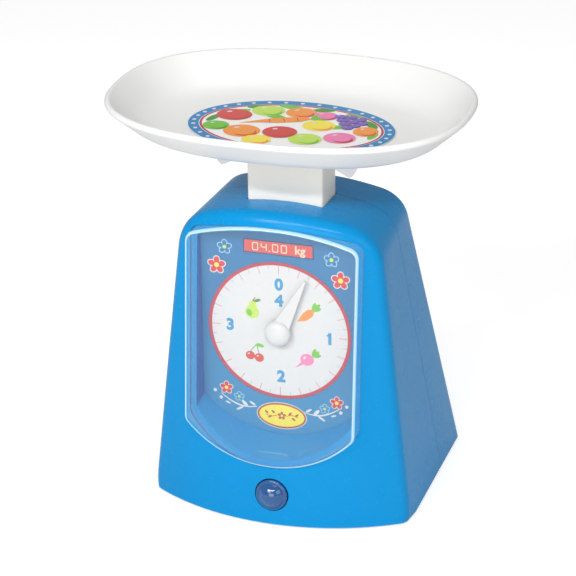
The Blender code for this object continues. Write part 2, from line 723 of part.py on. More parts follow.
def window_outline(inset):
    return arched_outline(WINDOW_HALF_WIDTH - inset, WINDOW_LOW + inset, WINDOW_LOW_RADIUS - inset,
                          WINDOW_HIGH - inset, WINDOW_HIGH_RADIUS - inset,
                          max(WINDOW_CORNER - inset, MM))


def window_plane(depth):
    """Maps (x, z) onto the window's leaning plane, a depth behind its front."""
    return lambda x, z: Vector((x, -WINDOW_FACE + FRONT_LEAN * z + depth, z))


def window_block(inset, near, far):
    return prism(window_outline(inset), window_plane(near), window_plane(far))


def well_section(margin, share):
    """Maps the well's front outline to its section at a share of the way back to the card."""
    front = window_plane(0.0)
    front_half = WINDOW_HALF_WIDTH - WELL_INSET + margin
    low, high = WINDOW_LOW + WELL_INSET - margin, WINDOW_HIGH - WELL_INSET + margin
    rear_low, rear_high = WELL_REAR_LOW - margin, WELL_REAR_HIGH + margin
    across = (WELL_REAR_HALF_WIDTH + margin) / front_half
    upward = (rear_high - rear_low) / (high - low)

    def section(x, z):
        rear = Vector((x * across, -CARD_DEPTH - GAP, rear_low + (z - low) * upward))
        return front(x, z).lerp(rear, share)
    return section


def well_block(margin, start, end):
    return prism(window_outline(WELL_INSET - margin), well_section(margin, start),
                 well_section(margin, end))


def card_outline():
    return arched_outline(WELL_REAR_HALF_WIDTH + CARD_MARGIN, WELL_REAR_LOW - CARD_MARGIN,
                          WINDOW_LOW_RADIUS, WELL_REAR_HIGH + CARD_MARGIN, WINDOW_HIGH_RADIUS,
                          WINDOW_CORNER)


# The lamp button's frame: local Z points out of the leaning front face

FACE_LEAN = math.atan(FRONT_LEAN)
button_empty = axis_empty("button_axis", (BUTTON_X, front_y(BUTTON_X, BUTTON_HEIGHT), BUTTON_HEIGHT),
                          (math.pi / 2 - FACE_LEAN, 0.0, 0.0))


def front_shell():
    shell = to_object("front_shell", housing_solid(), BLUE)
    hollow = cutter("front_hollow", housing_solid(WALL, -2 * WALL))
    well_wall = cutter("well_wall", well_block(WELL_WALL, -WELL_OVERRUN, 1.0))
    combine(hollow, "DIFFERENCE", well_wall)
    combine(shell, "DIFFERENCE", hollow)
    combine(shell, "DIFFERENCE", cutter("behind_seam", seam_half(True)))
    well_hollow = cutter("well_hollow", well_block(0.0, -WELL_OVERRUN, 1.0 + WELL_OVERRUN))
    combine(shell, "DIFFERENCE", well_hollow)

    seat = cutter("window_seat", window_block(-GAP, -REACH, FRONT_DEPTH))
    combine(seat, "DIFFERENCE", cutter("seat_floor", housing_solid(WINDOW_SEAT + GAP, -WALL)))
    combine(shell, "DIFFERENCE", seat)

    bosses = bmesh.new()
    for side in (-1, 1):
        for x, z, seat_y in SHELL_BOSSES:
            start = front_y(x, z, -FRONT_EDGE_RADIUS)
            add_rod(bosses, SHELL_BOSS_RADIUS, (side * x, start, z), seat_y - start)
        for z in PLATE_BOSS_HEIGHTS:
            start = front_y(PLATE_BOSS_X, z, -FRONT_EDGE_RADIUS)
            add_rod(bosses, PLATE_BOSS_RADIUS, (side * PLATE_BOSS_X, start, z),
                    -PLATE_FRONT - GAP - start)
        foot = (side * BASE_SCREW_X, BASE_SCREW_DEPTHS[0], BASE_CUP_TOP + GAP)
        add_rod(bosses, BASE_BOSS_RADIUS, foot, BASE_BOSS_HEIGHT, "Z")
    boss_solid = cutter("front_bosses", bosses)
    combine(boss_solid, "INTERSECT", cutter("front_boss_root", housing_solid(BOSS_ROOT, -WALL)))
    combine(shell, "UNION", boss_solid)

    board_bosses = bmesh.new()
    for side in (-1, 1):
        add_rod(board_bosses, BOARD_BOSS_RADIUS, (side * BOARD_BOSS_X, 0, GAP - BOARD_DROP),
                BOARD_DROP - GAP - WALL + SLOT_GAP, "Z")
    combine(shell, "UNION", cutter("board_bosses", board_bosses, button_empty))

    pilots = bmesh.new()
    for side in (-1, 1):
        for x, z, seat_y in SHELL_BOSSES:
            add_rod(pilots, SCREW_RADIUS + GAP, (side * x, seat_y - SHELL_SCREW_LENGTH, z),
                    SHELL_SCREW_LENGTH + OVERRUN, segments=PILOT_SEGMENTS)
        for z in PLATE_BOSS_HEIGHTS:
            start = (side * PLATE_BOSS_X, -PLATE_FRONT - PLATE_PILOT_DEPTH, z)
            add_rod(pilots, SMALL_RADIUS + GAP, start, PLATE_PILOT_DEPTH + OVERRUN,
                    segments=SMALL_PILOT_SEGMENTS)
        foot = (side * BASE_SCREW_X, BASE_SCREW_DEPTHS[0], BASE_CUP_TOP - OVERRUN)
        add_rod(pilots, SCREW_RADIUS + GAP, foot, BASE_BOSS_HEIGHT, "Z", PILOT_SEGMENTS)
    combine(shell, "DIFFERENCE", cutter("front_pilots", pilots))

    button_holes = bmesh.new()
    add_rod(button_holes, BUTTON_RADIUS + SLOT_GAP, (0, 0, -2 * WALL), 4 * WALL, "Z", BUTTON_SEGMENTS)
    for side in (-1, 1):
        add_rod(button_holes, SMALL_RADIUS + GAP, (side * BOARD_BOSS_X, 0, -BOARD_DROP - OVERRUN),
                SHORT_SCREW_LENGTH + OVERRUN, "Z", SMALL_PILOT_SEGMENTS)
    combine(shell, "DIFFERENCE", cutter("button_holes", button_holes, button_empty))
    combine(shell, "DIFFERENCE", cutter("post_slot_front", post_slot()))
    return shell


def post_slot():
    bm = bmesh.new()
    half_x, half_y = POST_HALF_WIDTH + SLOT_GAP, POST_HALF_DEPTH + SLOT_GAP
    add_box(bm, (-half_x, -half_y, HOUSING_APEX - POST_SLOT_DEPTH),
            (half_x, half_y, HOUSING_APEX + OVERRUN))
    return bm


def rear_cover():
    cover = to_object("rear_cover", housing_solid(), BLUE)
    combine(cover, "DIFFERENCE", cutter("rear_hollow", housing_solid(WALL, -2 * WALL)))
    combine(cover, "DIFFERENCE", cutter("before_seam", seam_half(False)))

    tubes = bmesh.new()
    for side in (-1, 1):
        for x, z, seat_y in SHELL_BOSSES:
            start = seat_y + GAP
            add_rod(tubes, TUBE_RADIUS, (side * x, start, z), rear_y(z, -FRONT_EDGE_RADIUS) - start)
        foot = (side * BASE_SCREW_X, BASE_SCREW_DEPTHS[1], BASE_CUP_TOP + GAP)
        add_rod(tubes, BASE_BOSS_RADIUS, foot, BASE_BOSS_HEIGHT, "Z")
    tube_solid = cutter("rear_tubes", tubes)
    combine(tube_solid, "INTERSECT", cutter("rear_boss_root", housing_solid(BOSS_ROOT, -WALL)))
    combine(cover, "UNION", tube_solid)

    wells = bmesh.new()
    for side in (-1, 1):
        for x, z, seat_y in SHELL_BOSSES:
            floor = seat_y + GAP + SCREW_WEB
            add_rod(wells, SCREW_HEAD_RADIUS + GAP, (side * x, floor, z),
                    rear_y(z) + 2 * WALL - floor)
        foot = (side * BASE_SCREW_X, BASE_SCREW_DEPTHS[1], BASE_CUP_TOP - OVERRUN)
        add_rod(wells, SCREW_RADIUS + GAP, foot, BASE_BOSS_HEIGHT, "Z", PILOT_SEGMENTS)
    combine(cover, "DIFFERENCE", cutter("screw_wells", wells))

    holes = bmesh.new()
    for side in (-1, 1):
        for x, z, seat_y in SHELL_BOSSES:
            add_rod(holes, SCREW_RADIUS + GAP, (side * x, seat_y - OVERRUN, z),
                    GAP + SCREW_WEB + 2 * OVERRUN, segments=PILOT_SEGMENTS)
    combine(cover, "DIFFERENCE", cutter("screw_holes", holes))
    combine(cover, "DIFFERENCE", cutter("post_slot_rear", post_slot()))
    return cover


def housing_screws():
    seats = [(side * x, seat_y + GAP + SCREW_WEB + GAP, z)
             for side in (-1, 1) for x, z, seat_y in SHELL_BOSSES]
    place_screws("housing_screw", SCREW_HEAD_RADIUS, SCREW_HEAD_HEIGHT, SCREW_RADIUS,
                 SHELL_SCREW_LENGTH, seats, FORWARDS)


def base_plate():
    plate = to_object("base_plate", housing_solid(WALL + GAP, BASE_BOTTOM), BLUE)
    above = bmesh.new()
    add_box(above, (-REACH, -REACH, BASE_TOP), (REACH, REACH, 2 * REACH))
    combine(plate, "DIFFERENCE", cutter("above_base", above))

    raised = bmesh.new()
    root = BASE_BOTTOM + OVERRUN
    box_x, box_y = BOX_HALF_LENGTH + BOX_WALL, BOX_HALF_DEPTH + BOX_WALL
    add_box(raised, (-box_x, CELL_ROW_DEPTH - box_y, root),
            (box_x, CELL_ROW_DEPTH + box_y, BOX_CEILING + BOX_WALL))
    add_rod(raised, TOWER_SEAT_RADIUS, (0, 0, root), TOWER_SEAT_TOP - root, "Z", 20)
    for x, y in base_screw_places():
        add_rod(raised, BASE_CUP_RADIUS, (x, y, root), BASE_CUP_TOP - root, "Z")
    combine(plate, "UNION", cutter("base_raised", raised))

    tower = bmesh.new()
    add_rod(tower, TOWER_RADIUS, (0, 0, BASE_TOP), TOWER_TOP - BASE_TOP, "Z")
    add_rod(tower, DOOR_BOSS_RADIUS, (0, door_screw_y(), root), DOOR_BOSS_HEIGHT, "Z")
    combine(plate, "UNION", cutter("tower_and_boss", tower))

    hollows = bmesh.new()
    add_box(hollows, (-BOX_HALF_LENGTH, CELL_ROW_DEPTH - BOX_HALF_DEPTH, 0),
            (BOX_HALF_LENGTH, CELL_ROW_DEPTH + BOX_HALF_DEPTH, BOX_CEILING))
    add_rod(hollows, SCREW_RADIUS + GAP, (0, door_screw_y(), 0), DOOR_BOSS_HEIGHT, "Z", PILOT_SEGMENTS)
    add_rod(hollows, GUIDE_RADIUS + RUN_GAP, (0, 0, TOWER_SEAT_TOP), TOWER_TOP, "Z")
    for x, y in base_screw_places():
        add_rod(hollows, SMALL_HEAD_RADIUS + GAP, (x, y, 0), BASE_WEB_BOTTOM, "Z")
    combine(plate, "DIFFERENCE", cutter("base_hollows", hollows))

    holes = bmesh.new()
    low, high = door_corners(GAP)
    add_box(holes, (low[0], low[1], 0), (high[0], high[1], DOOR_TOP + GAP))
    for x, y in base_screw_places():
        add_rod(holes, SCREW_RADIUS + GAP, (x, y, 0), BASE_SCREW_LENGTH, "Z", PILOT_SEGMENTS)
    combine(plate, "DIFFERENCE", cutter("base_holes", holes))
    return plate


def base_screw_places():
    return [(side * BASE_SCREW_X, y) for side in (-1, 1) for y in BASE_SCREW_DEPTHS]


def door_screw_y():
    return CELL_ROW_DEPTH + BOX_HALF_DEPTH + BOX_WALL + DOOR_TONGUE / 2


def door_corners(margin=0.0):
    half_x = BOX_HALF_LENGTH + DOOR_MARGIN + margin
    near = CELL_ROW_DEPTH - BOX_HALF_DEPTH - DOOR_MARGIN - margin
    far = CELL_ROW_DEPTH + BOX_HALF_DEPTH + BOX_WALL + DOOR_TONGUE + margin
    return (-half_x, near), (half_x, far)


def battery_door():
    low, high = door_corners()
    bm = bmesh.new()
    add_box(bm, (low[0], low[1], BASE_BOTTOM), (high[0], high[1], DOOR_TOP))
    door = to_object("battery_door", bm, BLUE)
    hole = bmesh.new()
    add_rod(hole, SCREW_RADIUS + GAP, (0, door_screw_y(), 0), DOOR_TOP + OVERRUN, "Z", PILOT_SEGMENTS)
    combine(door, "DIFFERENCE", cutter("door_hole", hole))
    sink = bmesh.new()
    add_rod(sink, SMALL_HEAD_RADIUS + GAP, (0, door_screw_y(), 0), BASE_BOTTOM + DOOR_SCREW_SINK,
            "Z", PILOT_SEGMENTS)
    combine(door, "DIFFERENCE", cutter("door_sink", sink))
    place_screws("battery_door_screw", SMALL_HEAD_RADIUS, DOOR_SCREW_HEAD, SCREW_RADIUS,
                 DOOR_SCREW_LENGTH, [(0, door_screw_y(), BASE_BOTTOM + DOOR_SCREW_SINK - GAP)],
                 UPWARDS)


def base_screws():
    seats = [(x, y, BASE_WEB_BOTTOM - GAP) for x, y in base_screw_places()]
    place_screws("base_screw", SMALL_HEAD_RADIUS, SMALL_HEAD_HEIGHT, SCREW_RADIUS, BASE_SCREW_LENGTH,
                 seats, UPWARDS)


def feet():
    bm = bmesh.new()
    add_rod(bm, FOOT_RADIUS, (0, 0, 0), FOOT_HEIGHT, "Z", 20)
    place_copies("foot", bm, RUBBER, [(side * FOOT_X, y, 0) for y in FOOT_DEPTHS for side in (-1, 1)])


def batteries():
    half, nub = CELL_LENGTH / 2, CELL_NUB_LENGTH
    profile = [(0, -half), (CELL_RADIUS - CELL_EDGE, -half), (CELL_RADIUS, -half + CELL_EDGE),
               (CELL_RADIUS, half - nub - CELL_EDGE), (CELL_RADIUS - CELL_EDGE, half - nub),
               (CELL_NUB_RADIUS, half - nub), (CELL_NUB_RADIUS, half), (0, half)]
    bm = bmesh.new()
    add_turned(bm, profile, ROUND_SEGMENTS)
    rows = [(0, CELL_ROW_DEPTH + way * CELL_PITCH / 2, CELL_Z) for way in (-1, 1)]
    cells = place_copies("battery", bm, CELL, rows)
    for cell, way in zip(cells, (-1, 1)):
        cell.rotation_euler = (0.0, math.radians(90.0 * way), 0.0)


def battery_contacts():
    half = CONTACT_HALF_SIDE
    middle = CELL_LENGTH / 2 + GAP + CONTACT_THICKNESS / 2
    bm = bmesh.new()
    add_box(bm, (-CONTACT_THICKNESS / 2, -half, -half), (CONTACT_THICKNESS / 2, half, half))
    places = [(side * middle, CELL_ROW_DEPTH + way * CELL_PITCH / 2, CELL_Z)
              for side in (-1, 1) for way in (-1, 1)]
    place_copies("battery_contact", bm, STEEL, places)


def window():
    cap = to_object("window", window_block(0.0, 0.0, FRONT_DEPTH), CLEAR)
    combine(cap, "DIFFERENCE", cutter("cap_seat", housing_solid(WINDOW_SEAT, -WALL)))
    cap_hollow = cutter("cap_hollow", window_block(WINDOW_WALL, WINDOW_PLATE, 2 * FRONT_DEPTH))
    combine(cap, "DIFFERENCE", cap_hollow)
    tab = bmesh.new()
    base_z = WINDOW_LOW + WELL_INSET + TAB_LIFT
    top_z = base_z + TAB_HEIGHT
    plane = window_plane(WINDOW_PLATE / 2)
    add_box(tab, (TAB_OFFSET - TAB_WIDTH / 2, plane(0, base_z).y, base_z),
            (TAB_OFFSET + TAB_WIDTH / 2, plane(0, top_z).y + TAB_DEPTH, top_z))
    combine(cap, "UNION", cutter("snap_tab", tab))
    return cap


def dial_card():
    card = to_object("dial_card", flat_prism(card_outline(), -CARD_DEPTH, -CARD_BACK), CARD)
    hole = bmesh.new()
    add_rod(hole, CARD_HOLE_RADIUS, (0, -CARD_DEPTH - OVERRUN, DIAL_HEIGHT),
            CARD_THICKNESS + 2 * OVERRUN)
    combine(card, "DIFFERENCE", cutter("card_hole", hole))
    return card


def movement_plate():
    bm = bmesh.new()
    add_box(bm, (-PLATE_HALF_WIDTH, -PLATE_FRONT, PLATE_LOW),
            (PLATE_HALF_WIDTH, -PLATE_BACK, PLATE_HIGH))
    plate = to_object("movement_plate", bm, GREY)
    pillars = bmesh.new()
    for x, z in PILLARS:
        start = -PLATE_FRONT + PLATE_THICKNESS / 2
        add_rod(pillars, PILLAR_RADIUS, (x, start, DIAL_HEIGHT + z), -BRIDGE_DEPTH - GAP - start)
    combine(plate, "UNION", cutter("pillars", pillars))
    holes = bmesh.new()
    start, through = -PLATE_FRONT - OVERRUN, PLATE_THICKNESS + 2 * OVERRUN
    add_rod(holes, SHAFT_RADIUS + RUN_GAP, (0, start, DIAL_HEIGHT), through)
    add_rod(holes, SHAFT_RADIUS + RUN_GAP, (IDLER_X, start, IDLER_Z), through)
    for side in (-1, 1):
        for z in PLATE_BOSS_HEIGHTS:
            add_rod(holes, SMALL_RADIUS + GAP, (side * PLATE_BOSS_X, start, z), through,
                    segments=SMALL_PILOT_SEGMENTS)
    for x, z in PILLARS:
        add_rod(holes, SMALL_RADIUS + GAP, (x, -BRIDGE_DEPTH - BRIDGE_SCREW_LENGTH, DIAL_HEIGHT + z),
                BRIDGE_SCREW_LENGTH + OVERRUN, segments=SMALL_PILOT_SEGMENTS)
    combine(plate, "DIFFERENCE", cutter("plate_holes", holes))
    return plate


def movement_bridge():
    bm = bmesh.new()
    add_box(bm, (-BRIDGE_LEFT, -BRIDGE_DEPTH, DIAL_HEIGHT - BRIDGE_BELOW),
            (BRIDGE_RIGHT, -BRIDGE_BACK, DIAL_HEIGHT + BRIDGE_ABOVE))
    bridge = to_object("movement_bridge", bm, GREY)
    holes = bmesh.new()
    start, through = -BRIDGE_DEPTH - OVERRUN, BRIDGE_THICKNESS + 2 * OVERRUN
    add_rod(holes, SHAFT_RADIUS + RUN_GAP, (0, start, DIAL_HEIGHT), through)
    add_rod(holes, SHAFT_RADIUS + RUN_GAP, (IDLER_X, start, IDLER_Z), through)
    for x, z in PILLARS:
        add_rod(holes, SMALL_RADIUS + GAP, (x, start, DIAL_HEIGHT + z), through,
                segments=SMALL_PILOT_SEGMENTS)
    combine(bridge, "DIFFERENCE", cutter("bridge_holes", holes))
    return bridge


def small_screws():
    small = (SMALL_HEAD_RADIUS, SMALL_HEAD_HEIGHT, SMALL_RADIUS)
    plate_seats = [(side * PLATE_BOSS_X, -PLATE_BACK + GAP, z)
                   for side in (-1, 1) for z in PLATE_BOSS_HEIGHTS]
    place_screws("plate_screw", *small, SHORT_SCREW_LENGTH, plate_seats, FORWARDS)
    bridge_seats = [(x, -BRIDGE_BACK + GAP, DIAL_HEIGHT + z) for x, z in PILLARS]
    place_screws("bridge_screw", *small, BRIDGE_SCREW_LENGTH, bridge_seats, FORWARDS)
    rack_seats = [(rack_screw_x(), -RACK_DEPTH + GAP, POST_WEB_TOP - POST_WEB - drop)
                  for drop in RACK_SCREW_DROPS]
    place_screws("rack_screw", *small, RACK_THICKNESS + GAP + OVERRUN, rack_seats, FORWARDS)


# Gears: involute teeth drawn about the gear's own axis, in the XZ plane

def involute(angle):
    return math.tan(angle) - angle


def gear_outline(teeth, phase):
    """Points of a spur gear's rim, with a tooth centred on the phase angle."""
    pitch = MODULE * teeth / 2
    base = pitch * math.cos(PRESSURE_ANGLE)
    tip, root = pitch + ADDENDUM * MODULE, pitch - DEDENDUM * MODULE
    half_pitch = (math.pi * MODULE / 2 - TOOTH_THINNING) / 2 / pitch
    start = max(base, root)
    steps = 3
    flank = []
    for k in range(steps + 1):
        radius = start + (tip - start) * k / steps
        half = half_pitch + involute(PRESSURE_ANGLE) - involute(math.acos(base / radius))
        flank.append((radius, half))
    if root < start:
        flank.insert(0, (root, flank[0][1]))
    points = []
    for tooth in range(teeth):
        centre = phase + 2 * math.pi * tooth / teeth
        points += [(radius, centre - half) for radius, half in flank]
        points += [(radius, centre + half) for radius, half in reversed(flank)]
    return [(radius * math.cos(angle), radius * math.sin(angle)) for radius, angle in points]


def compound_gear():
    """Wheel and rack pinion moulded in one, on a hub that spaces them off the plate."""
    empty = axis_empty("idler_axis", (IDLER_X, 0, IDLER_Z))
    hub_start = -PLATE_BACK + GAP
    wheel_start = -RACK_DEPTH - RACK_THICKNESS - WHEEL_WIDTH - WHEEL_SETBACK
    toward_pointer = MESH_DIRECTION - math.pi
    wheel = flat_prism(gear_outline(WHEEL_TEETH, toward_pointer), wheel_start,
                       wheel_start + WHEEL_WIDTH)
    gear = to_object("compound_gear", wheel, IVORY, empty)
    pinion = flat_prism(gear_outline(RACK_PINION_TEETH, math.pi), wheel_start + WHEEL_WIDTH / 2,
                        -BRIDGE_DEPTH - 2 * GAP)
    combine(gear, "UNION", cutter("rack_pinion", pinion, empty))
    hub = bmesh.new()
    add_rod(hub, IDLER_HUB_RADIUS, (0, hub_start, 0), wheel_start + WHEEL_WIDTH / 2 - hub_start)
    combine(gear, "UNION", cutter("idler_hub", hub, empty))
    bore = bmesh.new()
    add_rod(bore, SHAFT_RADIUS + RUN_GAP, (0, hub_start - OVERRUN, 0), PLATE_FRONT)
    combine(gear, "DIFFERENCE", cutter("idler_bore", bore, empty))
    axle = bmesh.new()
    add_rod(axle, SHAFT_RADIUS, (IDLER_X, -PLATE_FRONT + GAP, IDLER_Z),
            PLATE_FRONT - BRIDGE_BACK - GAP)
    to_object("gear_axle", axle, STEEL)
    return wheel_start


def pointer_group(wheel_start):
    empty = axis_empty("pointer_axis", (0, 0, DIAL_HEIGHT))
    shaft = bmesh.new()
    hub_back = -CARD_DEPTH - POINTER_STANDOFF
    shaft_start = hub_back - SOCKET_DEPTH + GAP
    add_rod(shaft, SHAFT_RADIUS, (0, shaft_start, 0), -BRIDGE_BACK - shaft_start)
    to_object("pointer_shaft", shaft, STEEL, empty)

    middle = wheel_start + WHEEL_WIDTH / 2
    phase = MESH_DIRECTION + math.pi / POINTER_PINION_TEETH
    teeth = flat_prism(gear_outline(POINTER_PINION_TEETH, phase), middle - POINTER_PINION_WIDTH / 2,
                       middle + POINTER_PINION_WIDTH / 2)
    pinion = to_object("pointer_pinion", teeth, IVORY, empty)
    bore = bmesh.new()
    add_rod(bore, SHAFT_RADIUS + GAP, (0, middle - POINTER_PINION_WIDTH, 0), 2 * POINTER_PINION_WIDTH)
    combine(pinion, "DIFFERENCE", cutter("pinion_bore", bore, empty))

    rest = axis_empty("pointer_rest", (0, 0, 0), (0, math.radians(POINTER_REST_DEG), 0))
    rest.parent = empty
    top = HUB_HEIGHT
    dome = [(0.0, top)]
    for k in range(1, 5):
        angle = math.pi / 2 * k / 4
        dome.append((HUB_RADIUS * math.sin(angle), HUB_EDGE + (top - HUB_EDGE) * math.cos(angle)))
    hub_bm = bmesh.new()
    add_turned(hub_bm, dome + [(HUB_RADIUS, 0.0), (0.0, 0.0)], HUB_SEGMENTS,
               Matrix.Translation((0, hub_back, 0)) @ TO_FRONT)
    pointer = to_object("pointer", hub_bm, WHITE, rest)
    tip, root = POINTER_TIP_WIDTH / 2, POINTER_ROOT_WIDTH / 2
    blade = [(-root, 0), (root, 0), (tip, POINTER_LENGTH), (-tip, POINTER_LENGTH)]
    blade_y = hub_back - BLADE_LIFT
    blade_solid = flat_prism(blade, blade_y - POINTER_THICKNESS, blade_y)
    combine(pointer, "UNION", cutter("blade", blade_solid, rest))
    socket = bmesh.new()
    add_rod(socket, SHAFT_RADIUS + GAP, (0, hub_back - SOCKET_DEPTH, 0), SOCKET_DEPTH + OVERRUN)
    combine(pointer, "DIFFERENCE", cutter("pointer_socket", socket, rest))


def rack_screw_x():
    return RACK_LINE_X + RACK_SCREW_INSET


def rack():
    """Toothed strip that hangs inside the post's front wall and turns the idler."""
    pitch_length = math.pi * MODULE
    half = (pitch_length / 2 - TOOTH_THINNING) / 2
    slope = math.tan(PRESSURE_ANGLE)
    tip_x, root_x = RACK_LINE_X + ADDENDUM * MODULE, RACK_LINE_X - DEDENDUM * MODULE
    teeth = []
    for k in range(RACK_TEETH):
        centre = IDLER_Z + (RACK_FIRST_TOOTH + k + 0.5) * pitch_length
        for x, way in ((root_x, -1), (tip_x, -1), (tip_x, 1), (root_x, 1)):
            reach = half - (x - RACK_LINE_X) * slope
            teeth.append((x, centre + way * reach))
    low, high = teeth[0][1] - RACK_END, teeth[-1][1] + RACK_END
    top = POST_WEB_TOP - POST_WEB - RACK_HEADROOM
    front_x, back_x = rack_screw_x() + RACK_EDGE, root_x - RACK_BACK
    inner_x = -POST_HALF_WIDTH + POST_WALL + GAP
    step_z = POST_BOTTOM - PAN_TRAVEL / 2
    outline = [(root_x, low)] + teeth + [(root_x, high), (front_x, high + RACK_SHOULDER), (front_x, top),
               (inner_x, top), (inner_x, step_z), (back_x, step_z - RACK_STEP), (back_x, low)]
    empty = axis_empty("weigh_head_axis", (0, 0, 0))
    bm = flat_prism(outline, -RACK_DEPTH - RACK_THICKNESS, -RACK_DEPTH)
    strip = to_object("rack", bm, IVORY, empty)
    holes = bmesh.new()
    for drop in RACK_SCREW_DROPS:
        height = POST_WEB_TOP - POST_WEB - drop
        add_rod(holes, SMALL_RADIUS + GAP, (rack_screw_x(), -POST_HALF_DEPTH, height),
                POST_HALF_DEPTH, segments=SMALL_PILOT_SEGMENTS)
    combine(strip, "DIFFERENCE", cutter("rack_holes", holes, empty))
    return empty


def post(empty):
    half_x, half_y = POST_HALF_WIDTH, POST_HALF_DEPTH
    tube = bmesh.new()
    add_box(tube, (-half_x, -half_y, POST_BOTTOM), (half_x, half_y, POST_TOP))
    upright = [edge for edge in tube.edges if abs(edge.verts[0].co.z - edge.verts[1].co.z) > MM]
    bmesh.ops.bevel(tube, geom=upright, offset=POST_CORNER, segments=3, profile=0.5,
                    affect="EDGES", material=-1)
    body = to_object("post", tube, WHITE, empty)

    inner_x, inner_y = half_x - POST_WALL, half_y - POST_WALL
    hollow = bmesh.new()
    add_box(hollow, (-inner_x, -inner_y, POST_BOTTOM - OVERRUN),
            (inner_x, inner_y, POST_WEB_TOP - POST_WEB))
    add_box(hollow, (-inner_x, -inner_y, POST_WEB_TOP), (inner_x, inner_y, POST_TOP + OVERRUN))
    combine(body, "DIFFERENCE", cutter("post_hollow", hollow, empty))

    lugs = bmesh.new()
    stop_top = roof_underside(half_x + STOP_REACH, STOP_HALF_DEPTH) - GAP
    for side in (-1, 1):
        ends = sorted((side * (half_x - POST_WALL / 2), side * (half_x + STOP_REACH)))
        add_box(lugs, (ends[0], -STOP_HALF_DEPTH, stop_top - STOP_HEIGHT),
                (ends[1], STOP_HALF_DEPTH, stop_top))
    stem_start, stem_end = STEM_BOTTOM + COLLAR_HEIGHT / 2, POST_WEB_TOP - POST_WEB / 2
    add_rod(lugs, STEM_RADIUS, (0, 0, stem_start), stem_end - stem_start, "Z")
    combine(body, "UNION", cutter("stem_and_stops", lugs, empty))
    foot = bmesh.new()
    collar_top, guide_end = STEM_BOTTOM + COLLAR_HEIGHT, STEM_BOTTOM - GUIDE_LENGTH
    add_turned(foot, [(0, collar_top), (COLLAR_RADIUS, collar_top), (COLLAR_RADIUS, STEM_BOTTOM),
                      (GUIDE_RADIUS, STEM_BOTTOM), (GUIDE_RADIUS, guide_end), (0, guide_end)], 20)
    combine(body, "UNION", cutter("spring_collar", foot, empty))

    holes = bmesh.new()
    for side in (-1, 1):
        add_rod(holes, SCREW_RADIUS + GAP, (side * PAN_BOSS_X, 0, POST_WEB_TOP - POST_WEB - OVERRUN),
                POST_WEB + 2 * OVERRUN, "Z", PILOT_SEGMENTS)
    for drop in RACK_SCREW_DROPS:
        add_rod(holes, SMALL_RADIUS + GAP, (rack_screw_x(), RACK_SCREW_BITE - half_y,
                POST_WEB_TOP - POST_WEB - drop), POST_WALL + OVERRUN, segments=SMALL_PILOT_SEGMENTS)
    combine(body, "DIFFERENCE", cutter("post_holes", holes, empty))


def roof_underside(x, y):
    """Height of the roof's inner face, which falls from the front's outline to the rear's."""
    front, rear = (outline.arch_centre.y + math.sqrt((outline.arch_radius - WALL) ** 2 - x ** 2)
                   for outline in (OUTLINES["front"], OUTLINES["rear"]))
    near, far = front_y(0.0, HOUSING_APEX, FRONT_EDGE_RADIUS), rear_y(REAR_APEX, REAR_EDGE_RADIUS)
    return front + (rear - front) * (y - near) / (far - near)


def superellipse(half_length, half_depth, segments):
    points = []
    for k in range(segments):
        angle = 2 * math.pi * k / segments
        c, s = math.cos(angle), math.sin(angle)
        x = math.copysign(abs(c) ** (2 / PAN_EXPONENT), c) * half_length
        y = math.copysign(abs(s) ** (2 / PAN_EXPONENT), s) * half_depth
        points.append((x, y))
    return points


def pan_profile():
    """Inset and depth of the pan's outer surface, from the rim down to its flat bottom."""
    depth = PAN_INNER_DEPTH + PAN_WALL
    rows = [(0.0, 0.0), (0.0, PAN_LIP)]
    centre = (PAN_RUN + PAN_FILLET_REACH, depth - PAN_FILLET)
    for k in range(PAN_FILLET_STEPS + 1):
        angle = math.pi / 2 - PAN_FLARE * (1 - k / PAN_FILLET_STEPS)
        rows.append((centre[0] - PAN_FILLET * math.cos(angle), centre[1] + PAN_FILLET * math.sin(angle)))
    return rows


